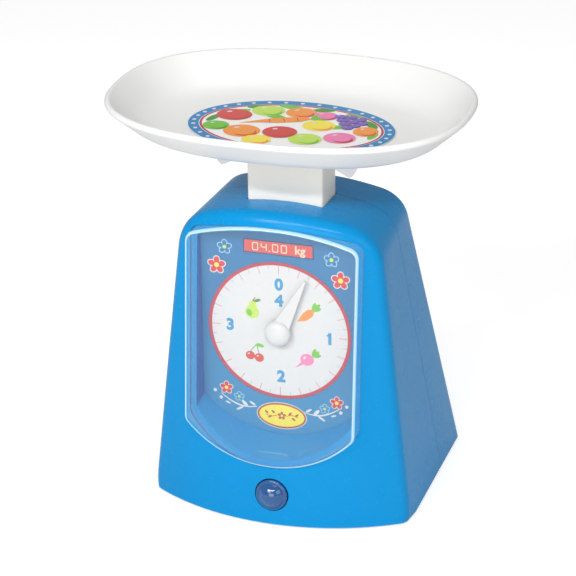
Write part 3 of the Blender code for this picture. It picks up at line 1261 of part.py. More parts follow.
def pan(empty):
    bm = bmesh.new()
    ring = None
    for inset, depth in pan_profile():
        places = [Vector((x, y, PAN_RIM_HEIGHT - depth)) for x, y in
                  superellipse(PAN_HALF_LENGTH - inset, PAN_HALF_DEPTH - inset, PAN_SEGMENTS)]
        if ring is None:
            ring = [bm.verts.new(place_) for place_ in places]
            ring.append(ring[0])
            for pair in zip(ring, ring[1:]):
                bm.edges.new(pair)
            continue
        edges = [bm.edges.get(pair) for pair in zip(ring, ring[1:])]
        grown = {item for item in bmesh.ops.extrude_edge_only(bm, edges=edges)["geom"]
                 if isinstance(item, bmesh.types.BMVert)}
        following = []
        for vert, position in zip(ring, places + places[:1]):
            twin = next(edge.other_vert(vert) for edge in vert.link_edges
                        if edge.other_vert(vert) in grown)
            twin.co = position
            following.append(twin)
        ring = following
    bm.faces.new(ring[:-1])
    bmesh.ops.recalc_face_normals(bm, faces=bm.faces)
    bowl_face = min(bm.faces, key=lambda face: face.calc_center_median().z)
    if bowl_face.normal.z > 0:
        bmesh.ops.reverse_faces(bm, faces=bm.faces)
    mesh = bpy.data.meshes.new("pan")
    bm.to_mesh(mesh)
    bm.free()
    bowl = place("pan", mesh, WHITE, empty)
    mesh.shade_smooth()
    mesh.set_sharp_from_angle(angle=math.radians(50.0))
    wall = bowl.modifiers.new("wall", "SOLIDIFY")
    wall.thickness = PAN_WALL
    wall.offset = -1.0
    wall.use_even_offset = True

    under = bmesh.new()
    outer_x, outer_y = POST_HALF_WIDTH - POST_WALL - GAP, POST_HALF_DEPTH - POST_WALL - GAP
    base = PAN_UNDERSIDE - SOCKET_HEIGHT
    add_box(under, (-outer_x, -outer_y, base), (outer_x, outer_y, PAN_UNDERSIDE + PAN_WALL / 2))
    combine(bowl, "UNION", cutter("pan_socket", under, empty))
    hollow = bmesh.new()
    inner_x, inner_y = outer_x - SOCKET_WALL, outer_y - SOCKET_WALL
    add_box(hollow, (-inner_x, -inner_y, base - OVERRUN), (inner_x, inner_y, PAN_UNDERSIDE))
    combine(bowl, "DIFFERENCE", cutter("pan_socket_hollow", hollow, empty))

    bosses = bmesh.new()
    for side in (-1, 1):
        add_rod(bosses, PAN_BOSS_RADIUS, (side * PAN_BOSS_X, 0, POST_WEB_TOP + GAP),
                PAN_UNDERSIDE + PAN_WALL / 2 - POST_WEB_TOP - GAP, "Z")
    combine(bowl, "UNION", cutter("pan_bosses", bosses, empty))
    pilots = bmesh.new()
    for side in (-1, 1):
        add_rod(pilots, SCREW_RADIUS + GAP, (side * PAN_BOSS_X, 0, POST_WEB_TOP - OVERRUN),
                PAN_SCREW_LENGTH, "Z", PILOT_SEGMENTS)
    combine(bowl, "DIFFERENCE", cutter("pan_pilots", pilots, empty))

    for side, name in ((-1, "left"), (1, "right")):
        root_x = POST_HALF_WIDTH + 2 * GAP
        half = RIB_THICKNESS / 2
        top = PAN_UNDERSIDE + PAN_WALL / 2
        outline = [(root_x, top), (root_x, PAN_UNDERSIDE - RIB_ROOT_DROP),
                   (RIB_TIP_X, PAN_UNDERSIDE - RIB_TIP_DROP), (RIB_OUTER_X, PAN_UNDERSIDE),
                   (RIB_OUTER_X, top)]
        for row, depth in (("front", -RIB_OFFSET), ("rear", RIB_OFFSET)):
            rib = flat_prism([(side * x, z) for x, z in outline], depth - half, depth + half)
            combine(bowl, "UNION", cutter(f"pan_rib_{name}_{row}", rib, empty))

    label = bmesh.new()
    turns = [2 * math.pi * k / LABEL_SEGMENTS for k in range(LABEL_SEGMENTS)]
    rim = [label.verts.new((LABEL_HALF_LENGTH * math.cos(turn), LABEL_HALF_DEPTH * math.sin(turn),
                            PAN_FLOOR + GAP)) for turn in turns]
    face = label.faces.new(rim)
    grown = bmesh.ops.extrude_face_region(label, geom=[face])["geom"]
    bmesh.ops.translate(label, vec=(0, 0, LABEL_THICKNESS),
                        verts=[item for item in grown if isinstance(item, bmesh.types.BMVert)])
    to_object("pan_label", label, PRINT, empty)

    seats = [(side * PAN_BOSS_X, 0, POST_WEB_TOP - POST_WEB - GAP) for side in (-1, 1)]
    place_screws("pan_screw", SCREW_HEAD_RADIUS, SCREW_HEAD_HEIGHT, SCREW_RADIUS, PAN_SCREW_LENGTH,
                 seats, UPWARDS, empty)


def wire(name, points, radius, finish, resolution=2):
    """A round wire along a list of points, with closed ends."""
    curve = bpy.data.curves.new(name, "CURVE")
    curve.dimensions = "3D"
    curve.bevel_depth = radius
    curve.bevel_resolution = resolution
    curve.use_fill_caps = True
    spline = curve.splines.new("POLY")
    spline.points.add(len(points) - 1)
    for item, point in zip(spline.points, points):
        item.co = (*point, 1.0)
    return place(name, curve, finish)


def main_spring():
    """Coil between the seat on the base and the collar on the post's stem."""
    per_turn = 10
    low = TOWER_SEAT_TOP + GAP + SPRING_WIRE_RADIUS
    high = STEM_BOTTOM - GAP - SPRING_WIRE_RADIUS
    count = SPRING_TURNS * per_turn
    points = []
    for k in range(count + 1):
        angle = 2 * math.pi * k / per_turn
        points.append((SPRING_MEAN_RADIUS * math.cos(angle), SPRING_MEAN_RADIUS * math.sin(angle),
                       low + (high - low) * k / count))
    return wire("main_spring", points, SPRING_WIRE_RADIUS, STEEL, 1)


def smooth_route(stops, steps):
    """Points read from a smooth curve through the stops."""
    points = []
    last = len(stops) - 1
    for index in range(last):
        before, start = stops[max(index - 1, 0)], stops[index]
        end, after = stops[index + 1], stops[min(index + 2, last)]
        for k in range(steps):
            t = k / steps
            points.append(tuple(0.5 * (2 * b + (c - a) * t + (2 * a - 5 * b + 4 * c - d) * t * t
                                       + (3 * b - a - 3 * c + d) * t ** 3)
                                for a, b, c, d in zip(before, start, end, after)))
    points.append(tuple(stops[-1]))
    return points


def battery_leads():
    board_back = front_y(BUTTON_X, BUTTON_HEIGHT) + BOARD_DROP + BOARD_THICKNESS
    box_front = CELL_ROW_DEPTH - BOX_HALF_DEPTH - BOX_WALL
    half_rise = (LEAD_LOW_HEIGHT + LEAD_BOX_HEIGHT) / 2
    routes = (("lead_red", RED_WIRE, *RED_LEAD_X), ("lead_black", BLACK_WIRE, *BLACK_LEAD_X))
    for name, finish, x, far_x in routes:
        stops = [(x, board_back + LEAD_TAIL, LEAD_BOARD_HEIGHT),
                 (x, board_back + LEAD_BOARD_REACH, LEAD_BOARD_HEIGHT - GAP)]
        stops += [(far_x, y, LEAD_LOW_HEIGHT) for y in LEAD_LOW_RANGE]
        stops += [(far_x, box_front - LEAD_BOX_REACH, half_rise),
                  (far_x, box_front - GAP, LEAD_BOX_HEIGHT)]
        wire(name, smooth_route(stops, 3), LEAD_RADIUS, finish)


def lamp_button():
    rim_z = -WALL - BUTTON_SEAT_GAP
    dome_radius = (BUTTON_RADIUS ** 2 + BUTTON_DOME ** 2) / (2 * BUTTON_DOME)
    last = math.asin(BUTTON_RADIUS / dome_radius)
    outer = [(dome_radius * math.sin(last * k / 6),
              BUTTON_DOME - dome_radius * (1 - math.cos(last * k / 6))) for k in range(7)]
    bottom = rim_z - BUTTON_FLANGE_THICKNESS
    inner_radius, inner_ball = BUTTON_RADIUS - BUTTON_WALL, dome_radius - BUTTON_WALL
    inner_last = math.asin(inner_radius / inner_ball)
    ball_z = BUTTON_DOME - dome_radius
    inner = [(inner_ball * math.sin(inner_last * k / 4),
              ball_z + inner_ball * math.cos(inner_last * k / 4)) for k in range(4, -1, -1)]
    profile = outer + [(BUTTON_RADIUS, rim_z), (BUTTON_FLANGE, rim_z), (BUTTON_FLANGE, bottom),
                       (inner_radius, bottom)] + inner
    bm = bmesh.new()
    verts = [bm.verts.new((radius, 0.0, z)) for radius, z in profile]
    for pair in zip(verts, verts[1:]):
        bm.edges.new(pair)
    mesh = bpy.data.meshes.new("lamp_button")
    bm.to_mesh(mesh)
    bm.free()
    button = place("lamp_button", mesh, LENS, button_empty)
    spin = button.modifiers.new("turned", "SCREW")
    spin.steps = 24
    spin.render_steps = 24
    spin.use_merge_vertices = True
    spin.merge_threshold = 0.01 * MM
    spin.use_smooth_shade = True

    lamp = bmesh.new()
    base = -BOARD_DROP + GAP
    tip, brim = base + LAMP_LENGTH, LAMP_RADIUS * LAMP_BRIM
    eighth = math.sqrt(0.5)
    add_turned(lamp, [(0, tip), (LAMP_RADIUS * eighth, tip - LAMP_RADIUS * (1 - eighth)),
                      (LAMP_RADIUS, tip - LAMP_RADIUS), (LAMP_RADIUS, base + LAMP_BRIM_HEIGHT),
                      (brim, base + LAMP_BRIM_HEIGHT), (brim, base), (0, base)], ROUND_SEGMENTS)
    to_object("lamp", lamp, LAMP, button_empty)

    board = bmesh.new()
    add_box(board, (-BOARD_HALF_WIDTH, -BOARD_BELOW, -BOARD_DROP - BOARD_THICKNESS),
            (BOARD_HALF_WIDTH, BOARD_ABOVE, -BOARD_DROP))
    card = to_object("circuit_board", board, BOARD, button_empty)
    holes = bmesh.new()
    for side in (-1, 1):
        start = (side * BOARD_BOSS_X, 0, -BOARD_DROP - BOARD_THICKNESS - OVERRUN)
        add_rod(holes, SMALL_RADIUS + GAP, start, BOARD_THICKNESS + 2 * OVERRUN, "Z",
                SMALL_PILOT_SEGMENTS)
    combine(card, "DIFFERENCE", cutter("board_holes", holes, button_empty))
    seats = [(side * BOARD_BOSS_X, 0, -BOARD_DROP - BOARD_THICKNESS - GAP) for side in (-1, 1)]
    place_screws("board_screw", SMALL_HEAD_RADIUS, SMALL_HEAD_HEIGHT, SMALL_RADIUS,
                 SHORT_SCREW_LENGTH, seats, UPWARDS, button_empty)

    switch_y = (BUTTON_RADIUS + BUTTON_FLANGE) / 2 - GAP * 2
    plunger_top = bottom - BUTTON_TRAVEL - GAP
    half = SWITCH_SIDE / 2
    switch = bmesh.new()
    add_box(switch, (-half, switch_y - half, base), (half, switch_y + half, base + SWITCH_BODY))
    body = to_object("tact_switch", switch, BLACK, button_empty)
    plunger = bmesh.new()
    start = base + SWITCH_BODY / 2
    add_rod(plunger, SWITCH_PLUNGER_RADIUS, (0, switch_y, start), plunger_top - start, "Z",
            PILOT_SEGMENTS)
    combine(body, "UNION", cutter("switch_plunger", plunger, button_empty))


front_shell()
rear_cover()
base_plate()
battery_door()
feet()
housing_screws()
base_screws()
window()
dial_card()
movement_plate()
movement_bridge()
small_screws()
pointer_group(compound_gear())
weigh_head = rack()
post(weigh_head)
pan(weigh_head)
main_spring()
lamp_button()
batteries()
battery_contacts()
battery_leads()
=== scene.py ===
"""Looks of a toy balance scale: moulded blue housing, clear window over a printed dial, white pan and post.

Sizes are millimetres times MM. A piece is modelled about the pan's axis and then moved to it.
"""

import math

import bmesh
import bpy
from mathutils import Matrix, Vector


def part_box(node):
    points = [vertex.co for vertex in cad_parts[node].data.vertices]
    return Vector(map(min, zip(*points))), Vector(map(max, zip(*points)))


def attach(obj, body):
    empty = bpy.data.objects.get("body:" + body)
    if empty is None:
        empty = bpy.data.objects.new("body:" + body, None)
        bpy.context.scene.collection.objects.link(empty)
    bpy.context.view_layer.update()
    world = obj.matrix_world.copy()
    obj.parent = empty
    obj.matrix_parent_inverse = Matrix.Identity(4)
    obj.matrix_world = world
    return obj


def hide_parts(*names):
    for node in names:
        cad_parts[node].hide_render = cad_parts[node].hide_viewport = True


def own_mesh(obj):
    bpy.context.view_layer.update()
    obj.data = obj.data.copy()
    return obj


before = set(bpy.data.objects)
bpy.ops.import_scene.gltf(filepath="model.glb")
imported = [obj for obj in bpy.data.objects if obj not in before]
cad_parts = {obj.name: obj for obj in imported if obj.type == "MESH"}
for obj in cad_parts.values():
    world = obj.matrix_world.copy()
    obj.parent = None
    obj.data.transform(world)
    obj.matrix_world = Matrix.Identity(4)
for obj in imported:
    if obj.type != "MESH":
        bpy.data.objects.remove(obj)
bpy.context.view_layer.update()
MM = 0.001

# Housing front shell: one injection moulding in gloss blue plastic, bowed across the front and leaning
# back, with the sunk well that the dial sits behind and a slot on top for the post.
FOOT_LINE = 1.0 * MM
HALF_WIDTH = 70.1 * MM
SIDE_TAPER = 0.112
APEX = 167.5 * MM
ARCH_RADIUS = 130.0 * MM
SHOULDER_RADIUS = 26.0 * MM
REAR_NARROWING = 0.025
REAR_DROP = 3.0 * MM
REAR_ARCH_RADIUS = 143.0 * MM
REAR_SHOULDER_RADIUS = 18.0 * MM
SHELL_WALL = 2.4 * MM
CORNER_HEIGHT = 9.0 * MM
CORNER_REACH = 1.2 * MM
CORNER_FADE = 9.0 * MM
FRONT_DEPTH = 47.8 * MM
FRONT_LEAN = 0.085
BOW_RADIUS = 122.0 * MM
REAR_DEPTH = 77.7 * MM
REAR_LEAN = 0.251
FRONT_ROUNDING = 7.0 * MM
REAR_ROUNDING = 3.8 * MM
SEAM_DEPTH = 38.6 * MM
SEAM_LEAN = 0.173
SEAM_GAP = 0.3 * MM
WINDOW_HALF_WIDTH = 45.5 * MM
WINDOW_LOW = 32.0 * MM
WINDOW_LOW_RADIUS = 60.0 * MM
WINDOW_HIGH = 160.2 * MM
WINDOW_HIGH_RADIUS = 152.0 * MM
WINDOW_CORNER = 6.0 * MM
WINDOW_PROUD = 0.8 * MM
WINDOW_SEAT = 1.2 * MM
FIT = 0.3 * MM
WELL_INSET = 2.5 * MM
WELL_WALL = 1.8 * MM
WELL_REAR_HALF_WIDTH = 41.5 * MM
WELL_REAR_LOW = 41.0 * MM
WELL_REAR_HIGH = 156.0 * MM
WELL_MOUTH_SHARE = -0.02
WELL_CUT_SHARE = 1.1
CARD_DEPTH = 23.15 * MM
POST_HALF_WIDTH = 19.8 * MM
POST_HALF_DEPTH = 11.7 * MM
SLOT_FIT = 0.5 * MM
SLOT_BELOW = 14.0 * MM
SLOT_ABOVE = 10.0 * MM
SLOT_CORNER = 1.8 * MM
LENS_X = 2.0 * MM
LENS_HEIGHT = 17.3 * MM
LENS_RADIUS = 8.5 * MM
SHELL_BOSSES = ((55.0 * MM, 24.0 * MM, 20.0 * MM), (46.2 * MM, 132.4 * MM, 5.0 * MM))
BOSS_RADIUS = 3.3 * MM
BOSS_ROOT = 1.8 * MM
PLATE_BOSSES = ((49.0 * MM, 70.0 * MM), (49.0 * MM, 122.0 * MM))
PLATE_BOSS_END = -22.15 * MM
PLATE_BOSS_RADIUS = 3.0 * MM
FOOT_BOSS_X = 63.0 * MM
FOOT_BOSS_Y = (-4.0 * MM, 58.0 * MM)
FOOT_BOSS_LOW = 5.9 * MM
FOOT_BOSS_HEIGHT = 13.0 * MM
FOOT_BOSS_RADIUS = 4.0 * MM
ARCH_STEPS, SHOULDER_STEPS, SIDE_STEPS = 18, 12, 30
FRONT_STEPS, REAR_STEPS = 10, 6

post_low, post_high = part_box("post")
axis_y = (post_low[1] + post_high[1]) / 2

HALF_STEPS = ARCH_STEPS + SHOULDER_STEPS + SIDE_STEPS


class Outline:
    """The housing seen from the front: an arched top, round shoulders and tapered sides."""

    def __init__(self, apex, arch_radius, shoulder_radius, taper):
        self.arch_radius, self.shoulder_radius = arch_radius, shoulder_radius
        self.side_angle = math.atan(taper)
        self.side_normal = Vector((math.cos(self.side_angle), math.sin(self.side_angle)))
        direction = Vector((-self.side_normal.y, self.side_normal.x))
        self.side_offset = Vector((HALF_WIDTH, FOOT_LINE)).dot(self.side_normal)
        self.arch_centre = Vector((0.0, apex - arch_radius))
        reach = self.side_offset - shoulder_radius
        across = reach - self.arch_centre.dot(self.side_normal)
        above = math.sqrt((arch_radius - shoulder_radius) ** 2 - across ** 2)
        along = self.arch_centre.dot(direction) + above
        self.shoulder = self.side_normal * reach + direction * along
        ray = self.shoulder - self.arch_centre
        self.shoulder_angle = math.atan2(ray.y, ray.x)

    def point(self, index, inset, bottom):
        """A point of the outline and its outward normal, left foot to right foot."""
        step = abs(index - HALF_STEPS)
        if step <= ARCH_STEPS:
            angle = math.pi / 2 + (self.shoulder_angle - math.pi / 2) * step / ARCH_STEPS
            normal = Vector((math.cos(angle), math.sin(angle)))
            point = self.arch_centre + normal * (self.arch_radius - inset)
        elif step <= ARCH_STEPS + SHOULDER_STEPS:
            share = (step - ARCH_STEPS) / SHOULDER_STEPS
            angle = self.shoulder_angle + (self.side_angle - self.shoulder_angle) * share
            normal = Vector((math.cos(angle), math.sin(angle)))
            point = self.shoulder + normal * (self.shoulder_radius - inset)
        else:
            normal = self.side_normal.copy()
            top = self.shoulder + normal * (self.shoulder_radius - inset)
            foot = Vector(((self.side_offset - inset - bottom * normal.y) / normal.x, bottom))
            point = top.lerp(foot, (step - ARCH_STEPS - SHOULDER_STEPS) / SIDE_STEPS)
        if index < HALF_STEPS:
            point.x, normal.x = -point.x, -normal.x
        return point, normal


outlines = {"front": Outline(APEX, ARCH_RADIUS, SHOULDER_RADIUS, SIDE_TAPER),
            "rear": Outline(APEX - REAR_DROP, REAR_ARCH_RADIUS, REAR_SHOULDER_RADIUS,
                            SIDE_TAPER + REAR_NARROWING)}


def front_y(x, z, inset=0.0):
    return -FRONT_DEPTH + FRONT_LEAN * z + BOW_RADIUS - math.sqrt(BOW_RADIUS ** 2 - x ** 2) + inset


def rear_y(z, inset=0.0):
    return REAR_DEPTH - REAR_LEAN * z - inset


def rounding_ring(side, share, inset, bottom):
    """A ring of the rounded front or rear edge: share 0 is on the side wall, 1 on the face."""
    outline = outlines[side]
    ring = []
    for index in range(2 * HALF_STEPS + 1):
        point, normal = outline.point(index, inset, bottom)
        eased = inset
        if side == "front":
            radius = FRONT_ROUNDING - inset
            slope = point.x / math.sqrt(BOW_RADIUS ** 2 - point.x ** 2)
            tilt = math.atan(slope * normal.x + FRONT_LEAN * normal.y)
            low = min(max((FOOT_LINE + CORNER_HEIGHT - point.y) / CORNER_HEIGHT, 0.0), 1.0)
            eased += CORNER_REACH * low ** 2
        else:
            radius = REAR_ROUNDING - inset / 2
            tilt = math.atan(REAR_LEAN * normal.y)
        last = math.pi / 2 - tilt
        turn = last * share
        end, _ = outline.point(index, eased + radius * (1 - math.cos(last)), bottom)
        here, _ = outline.point(index, eased + radius * (1 - math.cos(turn)), bottom)
        lift = radius * (math.sin(last) - math.sin(turn))
        y = front_y(end.x, end.y, inset) + lift if side == "front" else rear_y(end.y, inset) - lift
        ring.append(Vector((here.x, y, here.y)))
    return ring


def wall_ring(inset, bottom):
    """A ring on the side walls, behind the front's rounding, where the eased corners have ended."""
    ring = []
    near_ring = rounding_ring("front", 0.0, inset, bottom)
    far_ring = rounding_ring("rear", 0.0, inset, bottom)
    for index, (near, far) in enumerate(zip(near_ring, far_ring)):
        outer, _ = outlines["front"].point(index, inset, bottom)
        ring.append(Vector((outer.x, near.y, outer.y)).lerp(far, CORNER_FADE / (far.y - near.y)))
    return ring


def fill_face(bm, ring, surface):
    """A grid that follows the face's surface, inside its ring."""
    rise = SIDE_STEPS + SHOULDER_STEPS // 2
    span = 2 * (ARCH_STEPS + SHOULDER_STEPS // 2)
    left_foot, right_foot = ring[0], ring[-1]
    left_top, right_top = ring[rise], ring[rise + span]
    for vert in bmesh.ops.create_grid(bm, x_segments=span, y_segments=rise, size=1.0)["verts"]:
        u, v = (vert.co.x + 1) / 2, (vert.co.y + 1) / 2
        column, row = round(u * span), round(v * rise)
        foot = left_foot.lerp(right_foot, u)
        blend = foot.lerp(ring[rise + column], v) + ring[row].lerp(ring[len(ring) - 1 - row], u)
        blend -= foot.lerp(left_top.lerp(right_top, u), v)
        vert.co = (blend.x, surface(blend.x, blend.z), blend.z)


def draw_out(bm, ring, places, closed=False):
    """Extrude a chain of vertices to new places, and return the new chain."""
    pairs = list(zip(ring, ring[1:] + ring[:1])) if closed else list(zip(ring, ring[1:]))
    edges = [bm.edges.get(pair) for pair in pairs]
    grown = {item for item in bmesh.ops.extrude_edge_only(bm, edges=edges)["geom"]
             if isinstance(item, bmesh.types.BMVert)}
    chain = []
    for vert, place in zip(ring, places):
        twin = next(edge.other_vert(vert) for edge in vert.link_edges if edge.other_vert(vert) in grown)
        twin.co = place
        chain.append(twin)
    return chain


def housing_form(inset=0.0, bottom=FOOT_LINE):
    """The housing's closed outer form, moved inwards by an inset."""
    bm = bmesh.new()
    face = rounding_ring("front", 1.0, inset, bottom)
    chain = [bm.verts.new(place) for place in face]
    for pair in zip(chain, chain[1:]):
        bm.edges.new(pair)
    for step in range(FRONT_STEPS - 1, -1, -1):
        chain = draw_out(bm, chain, rounding_ring("front", step / FRONT_STEPS, inset, bottom))
    chain = draw_out(bm, chain, wall_ring(inset, bottom))
    for step in range(REAR_STEPS + 1):
        chain = draw_out(bm, chain, rounding_ring("rear", step / REAR_STEPS, inset, bottom))
    fill_face(bm, face, lambda x, z: front_y(x, z, inset))
    fill_face(bm, rounding_ring("rear", 1.0, inset, bottom), lambda x, z: rear_y(z, inset))
    bmesh.ops.remove_doubles(bm, verts=bm.verts, dist=0.01 * MM)
    bmesh.ops.holes_fill(bm, edges=[edge for edge in bm.edges if edge.is_boundary], sides=0)
    bmesh.ops.recalc_face_normals(bm, faces=bm.faces)
    return bm


def arched_outline(inset, arc_steps=24, corner_steps=8):
    """The window's outline: upright sides, a curved lower edge and a gently arched upper edge."""
    half_width, corner = WINDOW_HALF_WIDTH - inset, max(WINDOW_CORNER - inset, MM)
    halves = []
    for apex, radius, way in ((WINDOW_LOW + inset, WINDOW_LOW_RADIUS - inset, -1),
                              (WINDOW_HIGH - inset, WINDOW_HIGH_RADIUS - inset, 1)):
        centre_z = apex - way * radius
        corner_x = half_width - corner
        corner_z = centre_z + way * math.sqrt((radius - corner) ** 2 - corner_x ** 2)
        last = math.atan2(corner_x, abs(corner_z - centre_z))
        arc = []
        for k in range(arc_steps):
            turn = last * (2 * k + 1) / (2 * arc_steps - 1)
            arc.append((radius * math.sin(turn), centre_z + way * radius * math.cos(turn)))
        for k in range(1, corner_steps + 1):
            turn = last + (math.pi / 2 - last) * k / corner_steps
            arc.append((corner_x + corner * math.sin(turn), corner_z + way * corner * math.cos(turn)))
        halves.append(arc)
    right = halves[0] + halves[1][::-1]
    return right + [(-x, z) for x, z in reversed(right)]


def stretch_outline(points, near, far):
    """A closed block between an outline's two places, near and far."""
    bm = bmesh.new()
    face = bm.faces.new([bm.verts.new(near(x, z)) for x, z in points])
    grown = {item for item in bmesh.ops.extrude_face_region(bm, geom=[face])["geom"]
             if isinstance(item, bmesh.types.BMVert)}
    flat = {tuple(round(c, 7) for c in near(x, z)): (x, z) for x, z in points}
    for vert in grown:
        vert.co = far(*flat[tuple(round(c, 7) for c in vert.co)])
    bmesh.ops.recalc_face_normals(bm, faces=bm.faces)
    return bm


def window_plane(depth):
    face = FRONT_DEPTH + WINDOW_PROUD
    return lambda x, z: Vector((x, -face + FRONT_LEAN * z + depth, z))


def well_section(margin, share):
    """Maps the well's front outline to its section at a share of the way back to the dial card."""
    front_half = WINDOW_HALF_WIDTH - WELL_INSET + margin
    low, high = WINDOW_LOW + WELL_INSET - margin, WINDOW_HIGH - WELL_INSET + margin
    rear_low, rear_high = WELL_REAR_LOW - margin, WELL_REAR_HIGH + margin

    def section(x, z):
        rear = Vector((x * (WELL_REAR_HALF_WIDTH + margin) / front_half, -CARD_DEPTH - FIT,
                       rear_low + (z - low) * (rear_high - rear_low) / (high - low)))
        return window_plane(0.0)(x, z).lerp(rear, share)
    return section


def well_form(margin, start, end):
    return stretch_outline(arched_outline(WELL_INSET - margin), well_section(margin, start),
                           well_section(margin, end))


def mesh_object(name, bm):
    mesh = bpy.data.meshes.new(name)
    bm.to_mesh(mesh)
    bm.free()
    thing = bpy.data.objects.new(name, mesh)
    bpy.context.scene.collection.objects.link(thing)
    return thing


def carve(bm, tool, operation="DIFFERENCE"):
    """Cut, join or intersect two closed forms, and return the result as a new bmesh."""
    body, helper = mesh_object("blank", bm), mesh_object("tool", tool)
    modifier = body.modifiers.new("carve", "BOOLEAN")
    modifier.operation, modifier.object, modifier.solver = operation, helper, "EXACT"
    shaped = bpy.data.meshes.new_from_object(body.evaluated_get(bpy.context.evaluated_depsgraph_get()))
    result = bmesh.new()
    result.from_mesh(shaped)
    for thing in (body, helper):
        data = thing.data
        bpy.data.objects.remove(thing)
        bpy.data.meshes.remove(data)
    bpy.data.meshes.remove(shaped)
    return result


AXIS_TURN = {"Y": Matrix.Rotation(math.radians(-90.0), 4, "X"), "Z": Matrix.Identity(4)}


def add_rod(bm, radius, start, length, axis="Y", segments=48):
    """A round bar that starts at a point and runs along +Y or +Z."""
    matrix = Matrix.Translation(Vector(start)) @ AXIS_TURN[axis] @ Matrix.Translation((0, 0, length / 2))
    bmesh.ops.create_cone(bm, cap_ends=True, segments=segments, radius1=radius, radius2=radius,
                          depth=length, matrix=matrix)


def add_block(bm, low, high):
    size, middle = Vector(high) - Vector(low), (Vector(high) + Vector(low)) / 2
    return bmesh.ops.create_cube(bm, size=1.0, matrix=Matrix.Translation(middle)
                                 @ Matrix.Diagonal((*size, 1.0)))["verts"]


def upright_edges(verts):
    """The edges that run up a block."""
    return [edge for edge in {edge for vert in verts for edge in vert.link_edges}
            if abs(edge.verts[0].co.z - edge.verts[1].co.z) > MM]


def round_edges(bm, edges, reach, steps):
    """Rounds some edges of a form, as far as the reach to each side of them."""
    bmesh.ops.bevel(bm, geom=edges, offset=reach, segments=steps, profile=0.5, affect="EDGES", material=-1)


def settle(bm, name, finishes, body, replaced, crease=32.0):
    """Move a finished piece to the pan's axis, give it its finish and let it ride on its body."""
    bmesh.ops.dissolve_degenerate(bm, dist=0.01 * MM, edges=bm.edges)
    bm.transform(Matrix.Translation((0, axis_y, 0)))
    piece = mesh_object(name, bm)
    for finish in finishes:
        piece.data.materials.append(finish)
    piece.data.shade_smooth()
    piece.data.set_sharp_from_angle(angle=math.radians(crease))
    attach(piece, body)
    if replaced:
        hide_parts(*replaced)
    return piece


def new_finish(name):
    """An empty material with its shader, and the place on the object as the pattern's coordinates."""
    finish = bpy.data.materials.new(name)
    finish.use_nodes = True
    nodes = finish.node_tree.nodes
    shader = nodes["Principled BSDF"]
    place = nodes.new("ShaderNodeTexCoord")
    return finish, nodes, finish.node_tree.links, shader, place.outputs["Object"]


def noise_pattern(nodes, links, place, scale, detail):
    """A noise pattern laid on the object, as a value from 0 to 1."""
    pattern = nodes.new("ShaderNodeTexNoise")
    pattern.inputs["Scale"].default_value = scale
    pattern.inputs["Detail"].default_value = detail
    links.new(place, pattern.inputs["Vector"])
    return pattern.outputs["Fac"]


def blend_colour(nodes, links, shader, value, low, high):
    """The finish's colour, blended from low to high by a value."""
    blend = nodes.new("ShaderNodeMix")
    blend.data_type = "RGBA"
    blend.inputs["A"].default_value = (*low, 1.0)
    blend.inputs["B"].default_value = (*high, 1.0)
    links.new(value, blend.inputs["Factor"])
    links.new(blend.outputs["Result"], shader.inputs["Base Color"])


def vary_gloss(nodes, links, shader, value, low, high):
    """The finish's roughness, varied from low to high by a value."""
    gloss = nodes.new("ShaderNodeMapRange")
    gloss.inputs["To Min"].default_value = low
    gloss.inputs["To Max"].default_value = high
    links.new(value, gloss.inputs["Value"])
    links.new(gloss.outputs["Result"], shader.inputs["Roughness"])


def moulded_finish(name, colour, shade, roughness, grain=0.02, spread=0.06, coat=0.0, coat_roughness=0.1):
    """Injection-moulded plastic: faint flow shading, uneven gloss and a very fine moulded grain."""
    finish, nodes, links, shader, place = new_finish(name)
    flow = noise_pattern(nodes, links, place, 22.0, 3.0)
    blend_colour(nodes, links, shader, flow, colour, shade)
    mottle = noise_pattern(nodes, links, place, 160.0, 5.0)
    vary_gloss(nodes, links, shader, mottle, roughness - spread, roughness + spread)
    bump = nodes.new("ShaderNodeBump")
    bump.inputs["Strength"].default_value = grain
    bump.inputs["Distance"].default_value = 0.1 * MM
    links.new(noise_pattern(nodes, links, place, 1400.0, 2.0), bump.inputs["Height"])
    links.new(bump.outputs["Normal"], shader.inputs["Normal"])
    shader.inputs["Coat Weight"].default_value = coat
    shader.inputs["Coat Roughness"].default_value = coat_roughness
    return finish


BLUE = (0.0, 0.236, 0.545)
BLUE_SHADE = (0.001, 0.252, 0.575)
housing_blue = moulded_finish("housing_blue", BLUE, BLUE_SHADE, 0.26, coat=0.06, coat_roughness=0.08)
BLUE_IOR = 1.24
housing_blue.node_tree.nodes["Principled BSDF"].inputs["IOR"].default_value = BLUE_IOR
# painted shade: a darker copy of the housing blue, for the well's side walls that lie in shade
well_painted_shade_blue = moulded_finish("well_painted_shade_blue", (0.0, 0.09, 0.40), (0.001, 0.11, 0.44), 0.3)


def seam_half(keep_front):
    """A big block on one side of the leaning seam between the two halves."""
    size = 400 * MM
    shift = (size - SEAM_GAP) / 2 * (1 if keep_front else -1)
    bm = bmesh.new()
    bmesh.ops.create_cube(bm, size=size, matrix=Matrix.Translation((0, shift, 0)))
    bm.transform(Matrix.Translation((0, SEAM_DEPTH, 0)) @ Matrix.Rotation(math.atan(SEAM_LEAN), 4, "X"))
    return bm


def post_slot():
    bm = bmesh.new()
    half_x, half_y = POST_HALF_WIDTH + SLOT_FIT, POST_HALF_DEPTH + SLOT_FIT
    block = add_block(bm, (-half_x, -half_y, APEX - SLOT_BELOW), (half_x, half_y, APEX + SLOT_ABOVE))
    round_edges(bm, upright_edges(block), SLOT_CORNER, 5)
    return bm


def boss_form(rods):
    """Screw bosses, cut off inside the housing's wall so that nothing shows through it."""
    bm = bmesh.new()
    for radius, start, length, axis in rods:
        add_rod(bm, radius, start, length, axis, 32)
    return carve(bm, housing_form(BOSS_ROOT, -SHELL_WALL), "INTERSECT")


